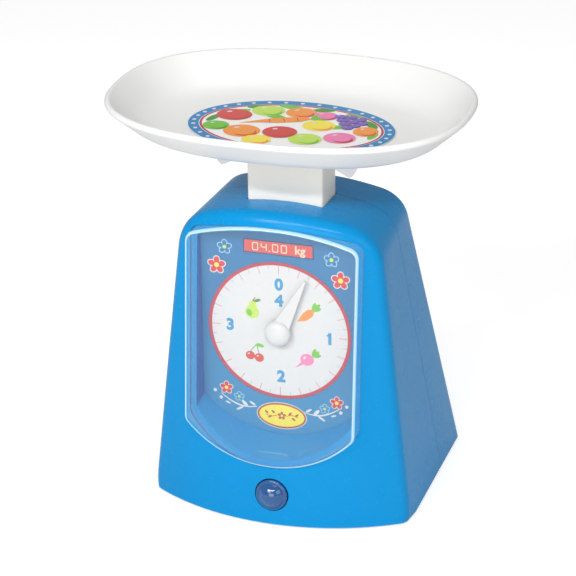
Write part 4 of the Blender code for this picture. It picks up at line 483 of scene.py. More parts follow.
lens_place = Matrix.Translation((LENS_X, front_y(LENS_X, LENS_HEIGHT), LENS_HEIGHT)) @ Matrix.Rotation(
    math.pi / 2 - math.atan(FRONT_LEAN), 4, "X")

hollow = carve(housing_form(SHELL_WALL, -2 * SHELL_WALL), well_form(WELL_WALL, WELL_MOUTH_SHARE, 1.0))
front = carve(housing_form(), hollow)
front = carve(front, seam_half(True))
front = carve(front, well_form(0.0, WELL_MOUTH_SHARE, WELL_CUT_SHARE))
seat = stretch_outline(arched_outline(-FIT), window_plane(-20 * MM), window_plane(30 * MM))
front = carve(front, carve(seat, housing_form(WINDOW_SEAT + FIT, -SHELL_WALL)))
rods = []
for side in (-1, 1):
    for x, z, end in SHELL_BOSSES:
        start = front_y(x, z, -FRONT_ROUNDING)
        rods.append((BOSS_RADIUS, (side * x, start, z), end - start, "Y"))
    for x, z in PLATE_BOSSES:
        start = front_y(x, z, -FRONT_ROUNDING)
        rods.append((PLATE_BOSS_RADIUS, (side * x, start, z), PLATE_BOSS_END - start, "Y"))
    foot = (side * FOOT_BOSS_X, FOOT_BOSS_Y[0], FOOT_BOSS_LOW)
    rods.append((FOOT_BOSS_RADIUS, foot, FOOT_BOSS_HEIGHT, "Z"))
front = carve(front, boss_form(rods), "UNION")
lens_hole = bmesh.new()
add_rod(lens_hole, LENS_RADIUS + SLOT_FIT, (0, 0, -SHELL_WALL - 3 * MM), SHELL_WALL + 6 * MM, "Z", 72)
lens_hole.transform(lens_place)
front = carve(front, lens_hole)
front = carve(front, post_slot())

# painted shade: the well's upright side walls are the same blue plastic, but get a darker copy of the blue
# for the shade they lie in
for face in front.faces:
    middle = face.calc_center_median()
    sunk = middle.y > front_y(middle.x, middle.z, WINDOW_PROUD)
    within = abs(middle.x) < WINDOW_HALF_WIDTH and middle.z < WINDOW_HIGH - WINDOW_CORNER
    # painted shade: sunk, sideways-facing well walls take the darker blue
    face.material_index = int(sunk and within and abs(face.normal.x) > 0.9)
settle(front, "housing_front", [housing_blue, well_painted_shade_blue], "housing", ["front_shell"])

# Housing rear cover: the second half of the same blue moulding, plain behind, screwed to the front
# from four sunk screw wells.
TUBE_RADIUS = 4.5 * MM
SCREW_WELL = 3.1 * MM
PILOT_RADIUS = 1.6 * MM
SCREW_WEB = 2.0 * MM
rear = carve(housing_form(), housing_form(SHELL_WALL, -2 * SHELL_WALL))
rear = carve(rear, seam_half(False))
rods, wells = [], bmesh.new()
for side in (-1, 1):
    for x, z, end in SHELL_BOSSES:
        start = end + FIT
        rods.append((TUBE_RADIUS, (side * x, start, z), rear_y(z, -FRONT_ROUNDING) - start, "Y"))
        add_rod(wells, SCREW_WELL, (side * x, start + SCREW_WEB, z), rear_y(z) + 3 * MM - start)
        add_rod(wells, PILOT_RADIUS, (side * x, start - MM, z), SCREW_WEB + 0.5 * MM, "Y", 24)
    foot = (side * FOOT_BOSS_X, FOOT_BOSS_Y[1], FOOT_BOSS_LOW)
    rods.append((FOOT_BOSS_RADIUS, foot, FOOT_BOSS_HEIGHT, "Z"))
rear = carve(rear, boss_form(rods), "UNION")
rear = carve(rear, wells)
rear = carve(rear, post_slot())
settle(rear, "housing_rear", [housing_blue], "housing", ["rear_cover"])

# Dial card: printed and laminated card behind the well, blue with a white dial in a red ring. The
# print is thin inked shapes, a few hundredths of a millimetre thick, laid over one another.
CARD_THICKNESS = 1.0 * MM
CARD_MARGIN = 1.0 * MM
DIAL_HEIGHT = 99.5 * MM
RING_RADIUS = 38.2 * MM
RING_WIDTH = 1.9 * MM
INK = 0.035 * MM


def ink_finish(name, colour, roughness=0.42):
    """Printing ink on the card: a faint halftone mottle under a smooth laminate."""
    finish, nodes, links, shader, place = new_finish(name)
    mottle = noise_pattern(nodes, links, place, 900.0, 2.0)
    blend_colour(nodes, links, shader, mottle, [c * 0.93 for c in colour],
                 [min(c * 1.06, 1.0) for c in colour])
    shader.inputs["Roughness"].default_value = roughness
    return finish


def card_ground_finish():
    """The card's printed ground, deep blue above and a lighter blue below the dial."""
    finish, nodes, links, shader, place = new_finish("card_ground")
    split = nodes.new("ShaderNodeSeparateXYZ")
    links.new(place, split.inputs["Vector"])
    fade = nodes.new("ShaderNodeMapRange")
    fade.inputs["From Min"].default_value = 42 * MM
    fade.inputs["From Max"].default_value = 110 * MM
    links.new(split.outputs["Z"], fade.inputs["Value"])
    blend_colour(nodes, links, shader, fade.outputs["Result"], (0.020, 0.23, 0.45), (0.012, 0.155, 0.35))
    shader.inputs["Roughness"].default_value = 0.4
    return finish


inks = {
    "ground": card_ground_finish(),
    "white": ink_finish("ink_white", (0.64, 0.64, 0.635)),
    "red": ink_finish("ink_red", (0.46, 0.035, 0.06)),
    "shadow": ink_finish("ink_shadow", (0.06, 0.12, 0.24)),
    "tick_red": ink_finish("ink_tick_red", (0.62, 0.16, 0.20)),
    "tick_grey": ink_finish("ink_tick_grey", (0.30, 0.33, 0.38)),
    "figure": ink_finish("ink_figure_blue", (0.03, 0.27, 0.52)),
    "screen": ink_finish("ink_screen_red", (0.62, 0.08, 0.07)),
    "navy": ink_finish("ink_navy", (0.03, 0.05, 0.16)),
    "cream": ink_finish("ink_cream", (0.86, 0.60, 0.42)),
    "yellow": ink_finish("ink_yellow", (0.82, 0.68, 0.07)),
    "badge_red": ink_finish("ink_badge_red", (0.42, 0.07, 0.04)),
    "flower_red": ink_finish("ink_flower_red", (0.60, 0.03, 0.04)),
    "green": ink_finish("ink_green", (0.16, 0.48, 0.04)),
    "leaf": ink_finish("ink_leaf", (0.05, 0.28, 0.03)),
    "orange": ink_finish("ink_orange", (0.80, 0.28, 0.05)),
    "pink": ink_finish("ink_pink", (0.76, 0.20, 0.40)),
    "melon": ink_finish("ink_melon_red", (0.58, 0.06, 0.05)),
    "lime": ink_finish("ink_lime", (0.48, 0.66, 0.10)),
    "violet": ink_finish("ink_violet", (0.20, 0.12, 0.42)),
    "pale_blue": ink_finish("ink_pale_blue", (0.38, 0.66, 0.84)),
    "border_blue": ink_finish("ink_border_blue", (0.020, 0.205, 0.47)),
}
ink_order = list(inks)


def flat_place(u, v, across, up, turn=0.0):
    """Places a unit shape on the face: its centre, half sizes and turn in degrees."""
    return (Matrix.Translation((u, v, 0)) @ Matrix.Rotation(math.radians(turn), 4, "Z")
            @ Matrix.Diagonal((across, up, 1, 1)))


class Print:
    """Ink shapes on a flat face: u to the right, v up, each layer a hair above the last."""

    def __init__(self, place):
        self.bm = bmesh.new()
        self.place = place
        self.count = 0

    def lay(self, made, ink, layer):
        """Thicken the flat shape in a small bmesh and print it on a layer, a hair off its neighbours."""
        grown = bmesh.ops.extrude_face_region(made, geom=made.faces[:])["geom"]
        bmesh.ops.translate(made, vec=(0, 0, INK * 0.9),
                            verts=[item for item in grown if isinstance(item, bmesh.types.BMVert)])
        bmesh.ops.recalc_face_normals(made, faces=made.faces)
        for face in made.faces:
            face.material_index = ink_order.index(ink)
        self.count += 1
        made.transform(self.place @ Matrix.Translation((0, 0, (layer + self.count % 12 / 13) * INK)))
        scratch = bpy.data.meshes.new("ink")
        made.to_mesh(scratch)
        made.free()
        self.bm.from_mesh(scratch)
        bpy.data.meshes.remove(scratch)

    def disc(self, ink, layer, u, v, across, up=None, turn=0.0, segments=40):
        made = bmesh.new()
        bmesh.ops.create_circle(made, cap_ends=True, segments=segments, radius=1.0,
                                matrix=flat_place(u, v, across, up or across, turn))
        self.lay(made, ink, layer)

    def bar(self, ink, layer, u, v, across, up, turn=0.0):
        made = bmesh.new()
        bmesh.ops.create_grid(made, x_segments=1, y_segments=1, size=1.0,
                              matrix=flat_place(u, v, across, up, turn))
        self.lay(made, ink, layer)

    def ring(self, ink, layer, u, v, across, up, width, segments=144):
        """A band between an ellipse and the same ellipse a width smaller."""
        made = bmesh.new()
        for inset in (0.0, width):
            bmesh.ops.create_circle(made, cap_ends=False, segments=segments, radius=1.0,
                                    matrix=flat_place(u, v, across - inset, up - inset))
        bmesh.ops.bridge_loops(made, edges=made.edges[:])
        self.lay(made, ink, layer)

    def outline(self, ink, layer, points):
        made = bmesh.new()
        made.faces.new([made.verts.new((u, v, 0)) for u, v in points])
        self.lay(made, ink, layer)

    def stroke(self, ink, layer, points, widths):
        """A pen stroke along points, with a width at each of them."""
        made = bmesh.new()
        rows = []
        for k, point in enumerate(points):
            along = Vector(points[min(k + 1, len(points) - 1)]) - Vector(points[max(k - 1, 0)])
            across = Vector((-along.y, along.x)).normalized() * widths[k] / 2
            rows.append((Vector(point) + across, Vector(point) - across))
        chain = [made.verts.new((*row, 0)) for row in rows[0]]
        made.edges.new(chain)
        for row in rows[1:]:
            chain = draw_out(made, chain, [(*place, 0) for place in row])
        self.lay(made, ink, layer)

    def words(self, ink, layer, u, v, text, size, heavy=0.0):
        """Figures set in the plain built-in type, centred on their place."""
        curve = bpy.data.curves.new("figure", "FONT")
        curve.body, curve.size, curve.offset = text, size, heavy
        curve.align_x, curve.align_y = "CENTER", "CENTER"
        curve.resolution_u = 4
        curve.fill_mode = "BOTH"
        thing = bpy.data.objects.new("figure", curve)
        bpy.context.scene.collection.objects.link(thing)
        flat = bpy.data.meshes.new_from_object(thing.evaluated_get(bpy.context.evaluated_depsgraph_get()))
        made = bmesh.new()
        made.from_mesh(flat)
        bpy.data.objects.remove(thing)
        bpy.data.curves.remove(curve)
        bpy.data.meshes.remove(flat)
        bmesh.ops.remove_doubles(made, verts=made.verts, dist=0.001 * MM)
        made.transform(Matrix.Translation((u, v, 0)))
        self.lay(made, ink, layer)

    def flower(self, layer, u, v, size, petal, heart, edge="white"):
        """A simple flower of five round petals with an edge in another ink."""
        for width, ink, rise in ((0.44, edge, 0), (0.34, petal, 1)):
            for k in range(5):
                turn = 90.0 + 72.0 * k
                petal_u = u + math.cos(math.radians(turn)) * size * 0.56
                petal_v = v + math.sin(math.radians(turn)) * size * 0.56
                self.disc(ink, layer + rise, petal_u, petal_v, size * width, size * width * 0.86, turn, 16)
            self.disc(ink, layer + rise, u, v, size * 0.42, segments=16)
        self.disc(heart, layer + 2, u, v, size * 0.26, segments=16)


card = stretch_outline([(x * (WELL_REAR_HALF_WIDTH + CARD_MARGIN) / WINDOW_HALF_WIDTH,
                         WELL_REAR_LOW - CARD_MARGIN + (z - WINDOW_LOW)
                         * (WELL_REAR_HIGH - WELL_REAR_LOW + 2 * CARD_MARGIN) / (WINDOW_HIGH - WINDOW_LOW))
                        for x, z in arched_outline(0.0)],
                       lambda x, z: Vector((x, -CARD_DEPTH, z)),
                       lambda x, z: Vector((x, -CARD_DEPTH + CARD_THICKNESS, z)))
shaft_hole = bmesh.new()
add_rod(shaft_hole, 2.2 * MM, (0, -CARD_DEPTH - MM, DIAL_HEIGHT), CARD_THICKNESS + 2 * MM)
card = carve(card, shaft_hole)
settle(card, "dial_card_sheet", [inks["ground"]], "housing", ["dial_card"])

dial = Print(Matrix.Translation((0, -CARD_DEPTH - 0.01 * MM, DIAL_HEIGHT))
             @ Matrix.Rotation(math.pi / 2, 4, "X"))
dial.ring("white", 1, 0, 0, RING_RADIUS - 1.0 * MM, RING_RADIUS - 1.0 * MM, RING_RADIUS - 3.6 * MM)
dial.ring("red", 2, 0, 0, RING_RADIUS, RING_RADIUS, RING_WIDTH)
dial.ring("shadow", 3, 0, 0, RING_RADIUS + 0.15 * MM, RING_RADIUS + 0.15 * MM, 0.3 * MM)
tick_top = RING_RADIUS - RING_WIDTH + 0.2 * MM
for tick in range(40):
    angle = math.radians(90 - 9 * tick)
    if tick % 10 == 0:
        length, width, ink = 4.9 * MM, 0.34 * MM, "tick_red"
    elif tick % 2 == 0:
        length, width, ink = 4.2 * MM, 0.30 * MM, "tick_red"
    else:
        length, width, ink = 2.4 * MM, 0.24 * MM, "tick_grey"
    reach = tick_top - length / 2
    dial.bar(ink, 2, reach * math.cos(angle), reach * math.sin(angle), length / 2, width / 2,
             math.degrees(angle))
FIGURE_SIZE = 8.6 * MM
FIGURE_WEIGHT = 0.42 * MM
for text, u, v in (("0", 0, 25.6), ("4", 0, 16.7), ("1", 26.8, -1.3), ("2", 0.6, -25.8), ("3", -26.4, 0.2)):
    dial.words("figure", 2, u * MM, v * MM, text, FIGURE_SIZE, FIGURE_WEIGHT)
dial.stroke("figure", 3, [(26.9 * MM, 1.5 * MM), (25.9 * MM, 0.9 * MM), (25.1 * MM, 0.6 * MM)],
            [1.3 * MM, 1.0 * MM, 0.8 * MM])

# the printed read-out above the dial
screen_u, screen_v = 0.0, 45.6 * MM
dial.bar("navy", 1, screen_u, screen_v, 18.7 * MM, 3.9 * MM)
dial.bar("screen", 2, screen_u, screen_v, 18.0 * MM, 3.2 * MM)
SEGMENTS = {"0": "abcdef", "4": "bcfg"}
SEGMENT_PLACES = {"a": (0, 1, 0), "b": (0.5, 0.5, 90), "c": (0.5, -0.5, 90), "d": (0, -1, 0),
                  "e": (-0.5, -0.5, 90), "f": (-0.5, 0.5, 90), "g": (0, 0, 0)}
digit_height, digit_width = 2.0 * MM, 2.7 * MM
for digit, u in (("0", -12.2), ("4", -7.6), ("0", -1.6), ("0", 3.0)):
    for name in SEGMENTS[digit]:
        across, up, turn = SEGMENT_PLACES[name]
        length = digit_width * 0.46 if turn == 0 else digit_height * 0.46
        dial.bar("cream", 3, screen_u + u * MM + across * digit_width, screen_v + up * digit_height, length,
                 0.27 * MM, turn)
dial.disc("cream", 3, screen_u - 4.7 * MM, screen_v - 2.0 * MM, 0.38 * MM, segments=12)
dial.words("cream", 3, screen_u + 11.4 * MM, screen_v, "kg", 6.2 * MM, 0.14 * MM)

for u, v, size in ((-33.0, 32.9, 5.2), (32.6, 32.0, 5.2), (-29.3, -35.9, 3.9), (30.3, -36.7, 3.9)):
    dial.flower(3, u * MM, v * MM, size * MM, "flower_red", "yellow")
for u, v, size in ((-28.6, 43.4, 4.1), (27.9, 42.8, 4.1), (-22.4, -40.2, 2.9), (23.9, -40.9, 2.9)):
    dial.flower(3, u * MM, v * MM, size * MM, "ground", "lime", edge="pale_blue")

# white scrolls from the badge out to the small flowers, with leaves and dots
for way in (-1, 1):
    stem = []
    for k in range(13):
        t = k / 12
        stem.append((way * (12.8 + 19.6 * t) * MM, (-44.6 - 1.6 * math.sin(math.pi * t) + 5.2 * t * t) * MM))
    dial.stroke("white", 2, stem, [(0.9 - 0.5 * abs(2 * k / 12 - 1)) * MM for k in range(13)])
    for u, v, across, up, turn in ((15.2, -43.2, 1.9, 0.6, 32), (19.4, -43.8, 2.2, 0.95, 48),
                                   (22.2, -46.9, 2.2, 0.6, 150), (28.6, -44.4, 1.5, 0.5, 20)):
        dial.disc("white", 2, way * u * MM, v * MM, across * MM, up * MM, way * turn, 20)
    dial.disc("white", 2, way * 35.6 * MM, -38.2 * MM, 0.95 * MM, segments=16)
    dial.disc("white", 2, way * 32.4 * MM, -42.0 * MM, 0.95 * MM, segments=16)

# the oval badge, left without a name, with a plain sprig
badge_u, badge_v = 0.6 * MM, -48.1 * MM
dial.disc("white", 3, badge_u, badge_v, 13.6 * MM, 7.6 * MM, segments=72)
dial.disc("badge_red", 4, badge_u, badge_v, 13.2 * MM, 7.2 * MM, segments=72)
dial.disc("yellow", 5, badge_u, badge_v, 12.2 * MM, 6.2 * MM, segments=72)
dial.flower(6, badge_u, badge_v, 2.6 * MM, "badge_red", "yellow", edge="yellow")
for way in (-1, 1):
    sprig = [(badge_u + way * (2.6 + 6.2 * k / 8) * MM, badge_v + way * 0.9 * math.sin(math.pi * k / 8) * MM)
             for k in range(9)]
    dial.stroke("badge_red", 6, sprig, [0.36 * MM] * 9)
    for u, v, turn in ((4.6, 1.7, 40), (6.4, -1.2, -35), (8.2, 1.2, 40)):
        dial.disc("badge_red", 6, badge_u + way * u * MM, badge_v + v * MM, 1.2 * MM, 0.55 * MM,
                  way * turn, 16)

# four plain food pictures round the dial: pear, carrot, radish and cherries
u, v = -14.5 * MM, 10.5 * MM
dial.disc("lime", 3, u, v - 1.6 * MM, 3.7 * MM, 3.5 * MM)
dial.disc("lime", 3, u + 0.4 * MM, v + 1.9 * MM, 2.1 * MM, 2.9 * MM)
dial.disc("green", 4, u - 1.5 * MM, v - 2.0 * MM, 1.4 * MM, 2.0 * MM, 20)
dial.stroke("badge_red", 4, [(u + 0.5 * MM, v + 4.4 * MM), (u + 1.0 * MM, v + 5.8 * MM),
                             (u + 1.9 * MM, v + 6.8 * MM)], [0.7 * MM, 0.5 * MM, 0.4 * MM])
dial.disc("leaf", 4, u + 2.9 * MM, v + 5.2 * MM, 1.9 * MM, 0.8 * MM, 20, 20)

u, v = 15.0 * MM, 11.0 * MM
root = [(-5.4, -4.4), (-0.6, -3.4), (2.8, -0.6), (3.6, 1.6), (2.6, 3.2), (0.2, 3.0), (-2.6, 0.4)]
dial.outline("orange", 3, [(u + du * MM, v + dv * MM) for du, dv in root])
for shift in (-1.6, 0.2, 1.8):
    dial.bar("badge_red", 4, u + shift * MM, v + (shift - 0.6) * MM, 0.9 * MM, 0.14 * MM, 125)
for turn, reach in ((20, 4.6), (45, 5.4), (72, 4.6)):
    angle = math.radians(turn)
    dial.disc("green", 2, u + 2.8 * MM + math.cos(angle) * reach * 0.5 * MM,
              v + 2.6 * MM + math.sin(angle) * reach * 0.5 * MM, reach * 0.55 * MM, 1.0 * MM, turn, 20)

u, v = 14.6 * MM, -14.2 * MM
dial.disc("pink", 3, u, v, 3.6 * MM, 3.3 * MM)
dial.stroke("pink", 3, [(u - 2.4 * MM, v - 2.0 * MM), (u - 4.4 * MM, v - 3.8 * MM),
                        (u - 6.2 * MM, v - 5.0 * MM)], [1.7 * MM, 0.8 * MM, 0.3 * MM])
dial.disc("white", 4, u - 1.3 * MM, v + 1.0 * MM, 0.9 * MM, 0.6 * MM, 45, 20)
for turn in (10, 40, 70):
    angle = math.radians(turn)
    dial.disc("green", 2, u + 3.0 * MM + math.cos(angle) * 2.2 * MM,
              v + 2.4 * MM + math.sin(angle) * 2.2 * MM, 2.4 * MM, 1.0 * MM, turn, 20)

u, v = -13.6 * MM, -14.0 * MM
for du, dv in ((-2.3, -1.6), (2.5, -2.4)):
    dial.disc("melon", 3, u + du * MM, v + dv * MM, 2.5 * MM, 2.4 * MM)
    dial.disc("white", 4, u + (du - 0.8) * MM, v + (dv + 0.9) * MM, 0.6 * MM, 0.4 * MM, 40, 16)
    dial.stroke("leaf", 2, [(u + du * MM, v + (dv + 1.8) * MM), (u + (du * 0.6 + 0.3) * MM, v + 2.4 * MM),
                            (u + 1.2 * MM, v + 4.8 * MM)], [0.4 * MM] * 3)
dial.disc("green", 3, u + 3.0 * MM, v + 4.6 * MM, 2.2 * MM, 1.0 * MM, -12, 20)
settle(dial.bm, "dial_print", list(inks.values()), "housing", [], crease=20.0)

# Window: a cap of clear plastic with rounded edges, standing a little proud of the face and snapped
# into the housing's seat by a tab at its lower edge.
WINDOW_PLATE = 1.5 * MM
WINDOW_WALL = 1.4 * MM
WINDOW_EDGE = 1.7 * MM
TAB_OFFSET = 1.9 * MM
TAB_WIDTH = 16.0 * MM
TAB_LOW = 36.4 * MM
TAB_HEIGHT = 3.5 * MM
TAB_DEPTH = 2.3 * MM
TAB_SINK = 0.4 * MM
TAB_EDGE = 0.3 * MM
INSIDE_EDGE = 0.9 * MM


def clear_finish(name, tint, alpha, roughness, ior):
    """Clear plastic seen as a thin tinted film: light passes straight on, and its gloss stays."""
    finish, nodes, links, shader, place = new_finish(name)
    mottle = noise_pattern(nodes, links, place, 60.0, 3.0)
    blend_colour(nodes, links, shader, mottle, tint, [min(c * 1.08, 1.0) for c in tint])
    shader.inputs["Roughness"].default_value = roughness
    shader.inputs["IOR"].default_value = ior
    shader.inputs["Alpha"].default_value = alpha
    return finish


window_clear = clear_finish("window_clear", (0.80, 0.90, 0.97), 0.04, 0.05, 1.45)
window_rim = clear_finish("window_rim", (0.55, 0.82, 0.93), 0.08, 0.08, 1.5)
# painted highlight: a pale, nearly opaque finish on the cap's rounded front edge stands in for the bright
# line of light along it
window_edge_painted_highlight = clear_finish("window_edge_painted_highlight", (0.66, 0.90, 0.97), 0.62, 0.15, 1.6)


def edges_on(bm, plane):
    """The edges that lie in a plane of the window."""
    return [edge for edge in bm.edges
            if all(abs(vert.co.y - plane(vert.co.x, vert.co.z).y) < 0.01 * MM for vert in edge.verts)]


cap = stretch_outline(arched_outline(0.0), window_plane(0.0), window_plane(30 * MM))
round_edges(cap, edges_on(cap, window_plane(0.0)), WINDOW_EDGE, 6)
cap = carve(cap, housing_form(WINDOW_SEAT, -SHELL_WALL))
inside = stretch_outline(arched_outline(WINDOW_WALL), window_plane(WINDOW_PLATE), window_plane(40 * MM))
round_edges(inside, edges_on(inside, window_plane(WINDOW_PLATE)), INSIDE_EDGE, 4)
cap = carve(cap, inside)
tab = bmesh.new()
plane = window_plane(WINDOW_PLATE - TAB_SINK)
tab_low = (TAB_OFFSET - TAB_WIDTH / 2, plane(0, TAB_LOW).y, TAB_LOW)
tab_top = TAB_LOW + TAB_HEIGHT
add_block(tab, tab_low, (TAB_OFFSET + TAB_WIDTH / 2, plane(0, tab_top).y + TAB_DEPTH, tab_top))
round_edges(tab, tab.edges[:], TAB_EDGE, 3)
cap = carve(cap, tab, "UNION")

# flat faces are clear, the rounded front edge gets a pale, nearly opaque finish that is a painted highlight
# line, and the rest is the rim
slope = Vector((0, -1, FRONT_LEAN)).normalized()
for face in cap.faces:
    middle = face.calc_center_median()
    facing = abs(face.normal.dot(slope))
    if facing > 0.999 and middle.y < window_plane(WINDOW_PLATE + 0.2 * MM)(0, middle.z).y:
        face.material_index = 0
    elif 0.15 < facing < 0.98 and middle.y < window_plane(WINDOW_PLATE)(0, middle.z).y:
        face.material_index = 2
    else:
        face.material_index = 1
settle(cap, "clear_window", [window_clear, window_rim, window_edge_painted_highlight], "housing", ["window"])

# Pointer: white moulded needle with a domed hub, pushed on the shaft that comes through the card.
POINTER_REST = math.radians(26.0)
POINTER_LENGTH = 34.0 * MM
HUB_RADIUS = 6.8 * MM
HUB_BACK = -25.05 * MM
HUB_HEIGHT = 5.2 * MM
HUB_SIDE = 1.8 * MM
BLADE_ROOT = 5.0 * MM
BLADE_TIP = 0.6 * MM
BLADE_THICKNESS = 1.2 * MM
BLADE_SET = 0.4 * MM
BLADE_EDGE = 0.35 * MM
SOCKET_RADIUS = 1.8 * MM
SOCKET_DEPTH = 2.8 * MM
pointer_white = moulded_finish("pointer_white", (0.65, 0.65, 0.64), (0.62, 0.62, 0.61), 0.4, coat=0.1)
hub_profile = [(0.0, HUB_HEIGHT)]
for k in range(1, 15):
    turn = math.pi / 2 * k / 14
    hub_profile.append((HUB_RADIUS * math.sin(turn), HUB_SIDE + (HUB_HEIGHT - HUB_SIDE) * math.cos(turn)))
hub_profile += [(HUB_RADIUS, 0.3 * MM), (HUB_RADIUS - 0.3 * MM, 0.0), (0.0, 0.0)]


def turned(profile, segments):
    """Spin a profile of (radius, height) points once round Z into a closed form."""
    bm = bmesh.new()
    verts = [bm.verts.new((radius, 0.0, height)) for radius, height in profile]
    edges = [bm.edges.new(pair) for pair in zip(verts, verts[1:])]
    bmesh.ops.spin(bm, geom=verts + edges, cent=(0, 0, 0), axis=(0, 0, 1), angle=2 * math.pi, steps=segments,
                   use_merge=True)
    bmesh.ops.remove_doubles(bm, verts=bm.verts, dist=0.001 * MM)
    bmesh.ops.recalc_face_normals(bm, faces=bm.faces)
    return bm


hub = turned(hub_profile, 72)
hub.transform(Matrix.Translation((0, HUB_BACK, 0)) @ Matrix.Rotation(math.pi / 2, 4, "X"))
blade_back = HUB_BACK - BLADE_SET
blade = stretch_outline([(-BLADE_ROOT, 0), (BLADE_ROOT, 0), (BLADE_TIP, POINTER_LENGTH),
                         (-BLADE_TIP, POINTER_LENGTH)],
                        lambda x, z: Vector((x, blade_back, z)),
                        lambda x, z: Vector((x, blade_back - BLADE_THICKNESS, z)))
blade_edges = [edge for edge in blade.edges if all(vert.co.y < blade_back - MM for vert in edge.verts)]
round_edges(blade, blade_edges, BLADE_EDGE, 3)
needle = carve(hub, blade, "UNION")
socket = bmesh.new()
add_rod(socket, SOCKET_RADIUS, (0, HUB_BACK - SOCKET_DEPTH, 0), 5 * MM)
needle = carve(needle, socket)
needle.transform(Matrix.Translation((0, 0, DIAL_HEIGHT)) @ Matrix.Rotation(POINTER_REST, 4, "Y"))
settle(needle, "dial_pointer", [pointer_white], "indicator", ["pointer"])

# Lamp button: a dark blue translucent dome on a short collar, over a small lamp on the board.
LENS_DOME = 5.2 * MM
LENS_WALL = 1.6 * MM
LENS_RIM = -3.4 * MM
LENS_FLANGE = 10.5 * MM


def lens_finish():
    """Tinted translucent plastic with a polished face."""
    finish, nodes, links, shader, place = new_finish("lamp_lens_navy")
    mottle = noise_pattern(nodes, links, place, 120.0, 2.0)
    blend_colour(nodes, links, shader, mottle, (0.004, 0.085, 0.29), (0.008, 0.13, 0.42))
    shader.inputs["Roughness"].default_value = 0.06
    shader.inputs["IOR"].default_value = 1.49
    shader.inputs["Transmission Weight"].default_value = 0.35
    shader.inputs["Coat Weight"].default_value = 1.0
    shader.inputs["Coat Roughness"].default_value = 0.03
    return finish


collar = 1.1 * MM
dome_base = LENS_RADIUS - 1.5 * MM
ball = (dome_base ** 2 + (LENS_DOME - collar) ** 2) / (2 * (LENS_DOME - collar))
spread = math.asin(dome_base / ball)
lens_profile = [(ball * math.sin(spread * k / 16), LENS_DOME - ball * (1 - math.cos(spread * k / 16)))
                for k in range(17)]
for k in range(7):
    turn = math.pi / 2 * k / 6
    lens_profile.append((LENS_RADIUS - 1.1 * MM + 1.1 * MM * math.sin(turn),
                         collar - 1.1 * MM + 1.1 * MM * math.cos(turn)))
lens_profile += [(LENS_RADIUS, LENS_RIM), (LENS_FLANGE, LENS_RIM), (LENS_FLANGE, LENS_RIM - 1.4 * MM),
                 (LENS_RADIUS - LENS_WALL, LENS_RIM - 1.4 * MM)]
inner_ball = ball - LENS_WALL
inner_radius = LENS_RADIUS - LENS_WALL
inner_spread = math.asin(min(inner_radius / inner_ball, 1.0))
for k in range(12, -1, -1):
    turn = inner_spread * k / 12
    lens_profile.append((inner_ball * math.sin(turn), LENS_DOME - ball + inner_ball * math.cos(turn)))
lens = turned(lens_profile, 72)
lens.transform(lens_place)
settle(lens, "lamp_lens", [lens_finish()], "button", ["lamp_button"])

# Post: white rectangular tube with a web and a long stem inside, which carries the pan down to the
# spring in the housing.
POST_WALL = 1.8 * MM
POST_CORNER = 1.5 * MM
POST_BOTTOM = 124.0 * MM
POST_TOP = 199.0 * MM
WEB_TOP = 186.0 * MM
WEB = 2.4 * MM
STEM_BOTTOM = 64.0 * MM
STEM_RADIUS = 3.0 * MM
SEAT_RADIUS = 7.5 * MM
SEAT_THICKNESS = 2.0 * MM
SEAT_EDGE = 0.3 * MM
PIN_RADIUS = 2.4 * MM
PIN_LENGTH = 20.0 * MM
PIN_CHAMFER = 0.8 * MM
LUG_TOP = 161.3 * MM
LUG_HEIGHT = 5.0 * MM
LUG_HALF_DEPTH = 5.0 * MM
LUG_OUT = 2.5 * MM
PAN_SCREW_X = 10.0 * MM
GEAR_CENTRES = 16.8 * MM
RACK_SCREW_DROPS = (28.0 * MM, 14.0 * MM)
RACK_PILOT = 1.2 * MM
post_white = moulded_finish("post_white", (0.88, 0.83, 0.74), (0.85, 0.80, 0.71), 0.38, coat=0.1)
tube = bmesh.new()
tube_verts = add_block(tube, (-POST_HALF_WIDTH, -POST_HALF_DEPTH, POST_BOTTOM),
                       (POST_HALF_WIDTH, POST_HALF_DEPTH, POST_TOP))
round_edges(tube, upright_edges(tube_verts), POST_CORNER, 6)
post_hollow = bmesh.new()
inner_x, inner_y = POST_HALF_WIDTH - POST_WALL, POST_HALF_DEPTH - POST_WALL
add_block(post_hollow, (-inner_x, -inner_y, POST_BOTTOM - MM), (inner_x, inner_y, WEB_TOP - WEB))
add_block(post_hollow, (-inner_x, -inner_y, WEB_TOP), (inner_x, inner_y, POST_TOP + MM))
tube = carve(tube, post_hollow)
seat_top = STEM_BOTTOM + SEAT_THICKNESS
pin_end = STEM_BOTTOM - PIN_LENGTH
stem = turned([(0, WEB_TOP - WEB / 2), (STEM_RADIUS, WEB_TOP - WEB / 2),
               (STEM_RADIUS, seat_top + 2 * SEAT_EDGE), (STEM_RADIUS + 2 * SEAT_EDGE, seat_top),
               (SEAT_RADIUS - SEAT_EDGE, seat_top), (SEAT_RADIUS, seat_top - SEAT_EDGE),
               (SEAT_RADIUS, STEM_BOTTOM + SEAT_EDGE), (SEAT_RADIUS - SEAT_EDGE, STEM_BOTTOM),
               (PIN_RADIUS, STEM_BOTTOM), (PIN_RADIUS, pin_end + PIN_CHAMFER),
               (PIN_RADIUS - PIN_CHAMFER, pin_end), (0, pin_end)], 48)
tube = carve(tube, stem, "UNION")
lugs = bmesh.new()
for side in (-1, 1):
    ends = sorted((side * (POST_HALF_WIDTH - POST_WALL / 2), side * (POST_HALF_WIDTH + LUG_OUT)))
    add_block(lugs, (ends[0], -LUG_HALF_DEPTH, LUG_TOP - LUG_HEIGHT), (ends[1], LUG_HALF_DEPTH, LUG_TOP))
tube = carve(tube, lugs, "UNION")
screw_holes = bmesh.new()
for side in (-1, 1):
    hole = (side * PAN_SCREW_X, 0, WEB_TOP - WEB - MM)
    add_rod(screw_holes, PILOT_RADIUS, hole, 6 * MM, "Z", 24)
rack_x = -GEAR_CENTRES * math.sqrt(0.5) - MM
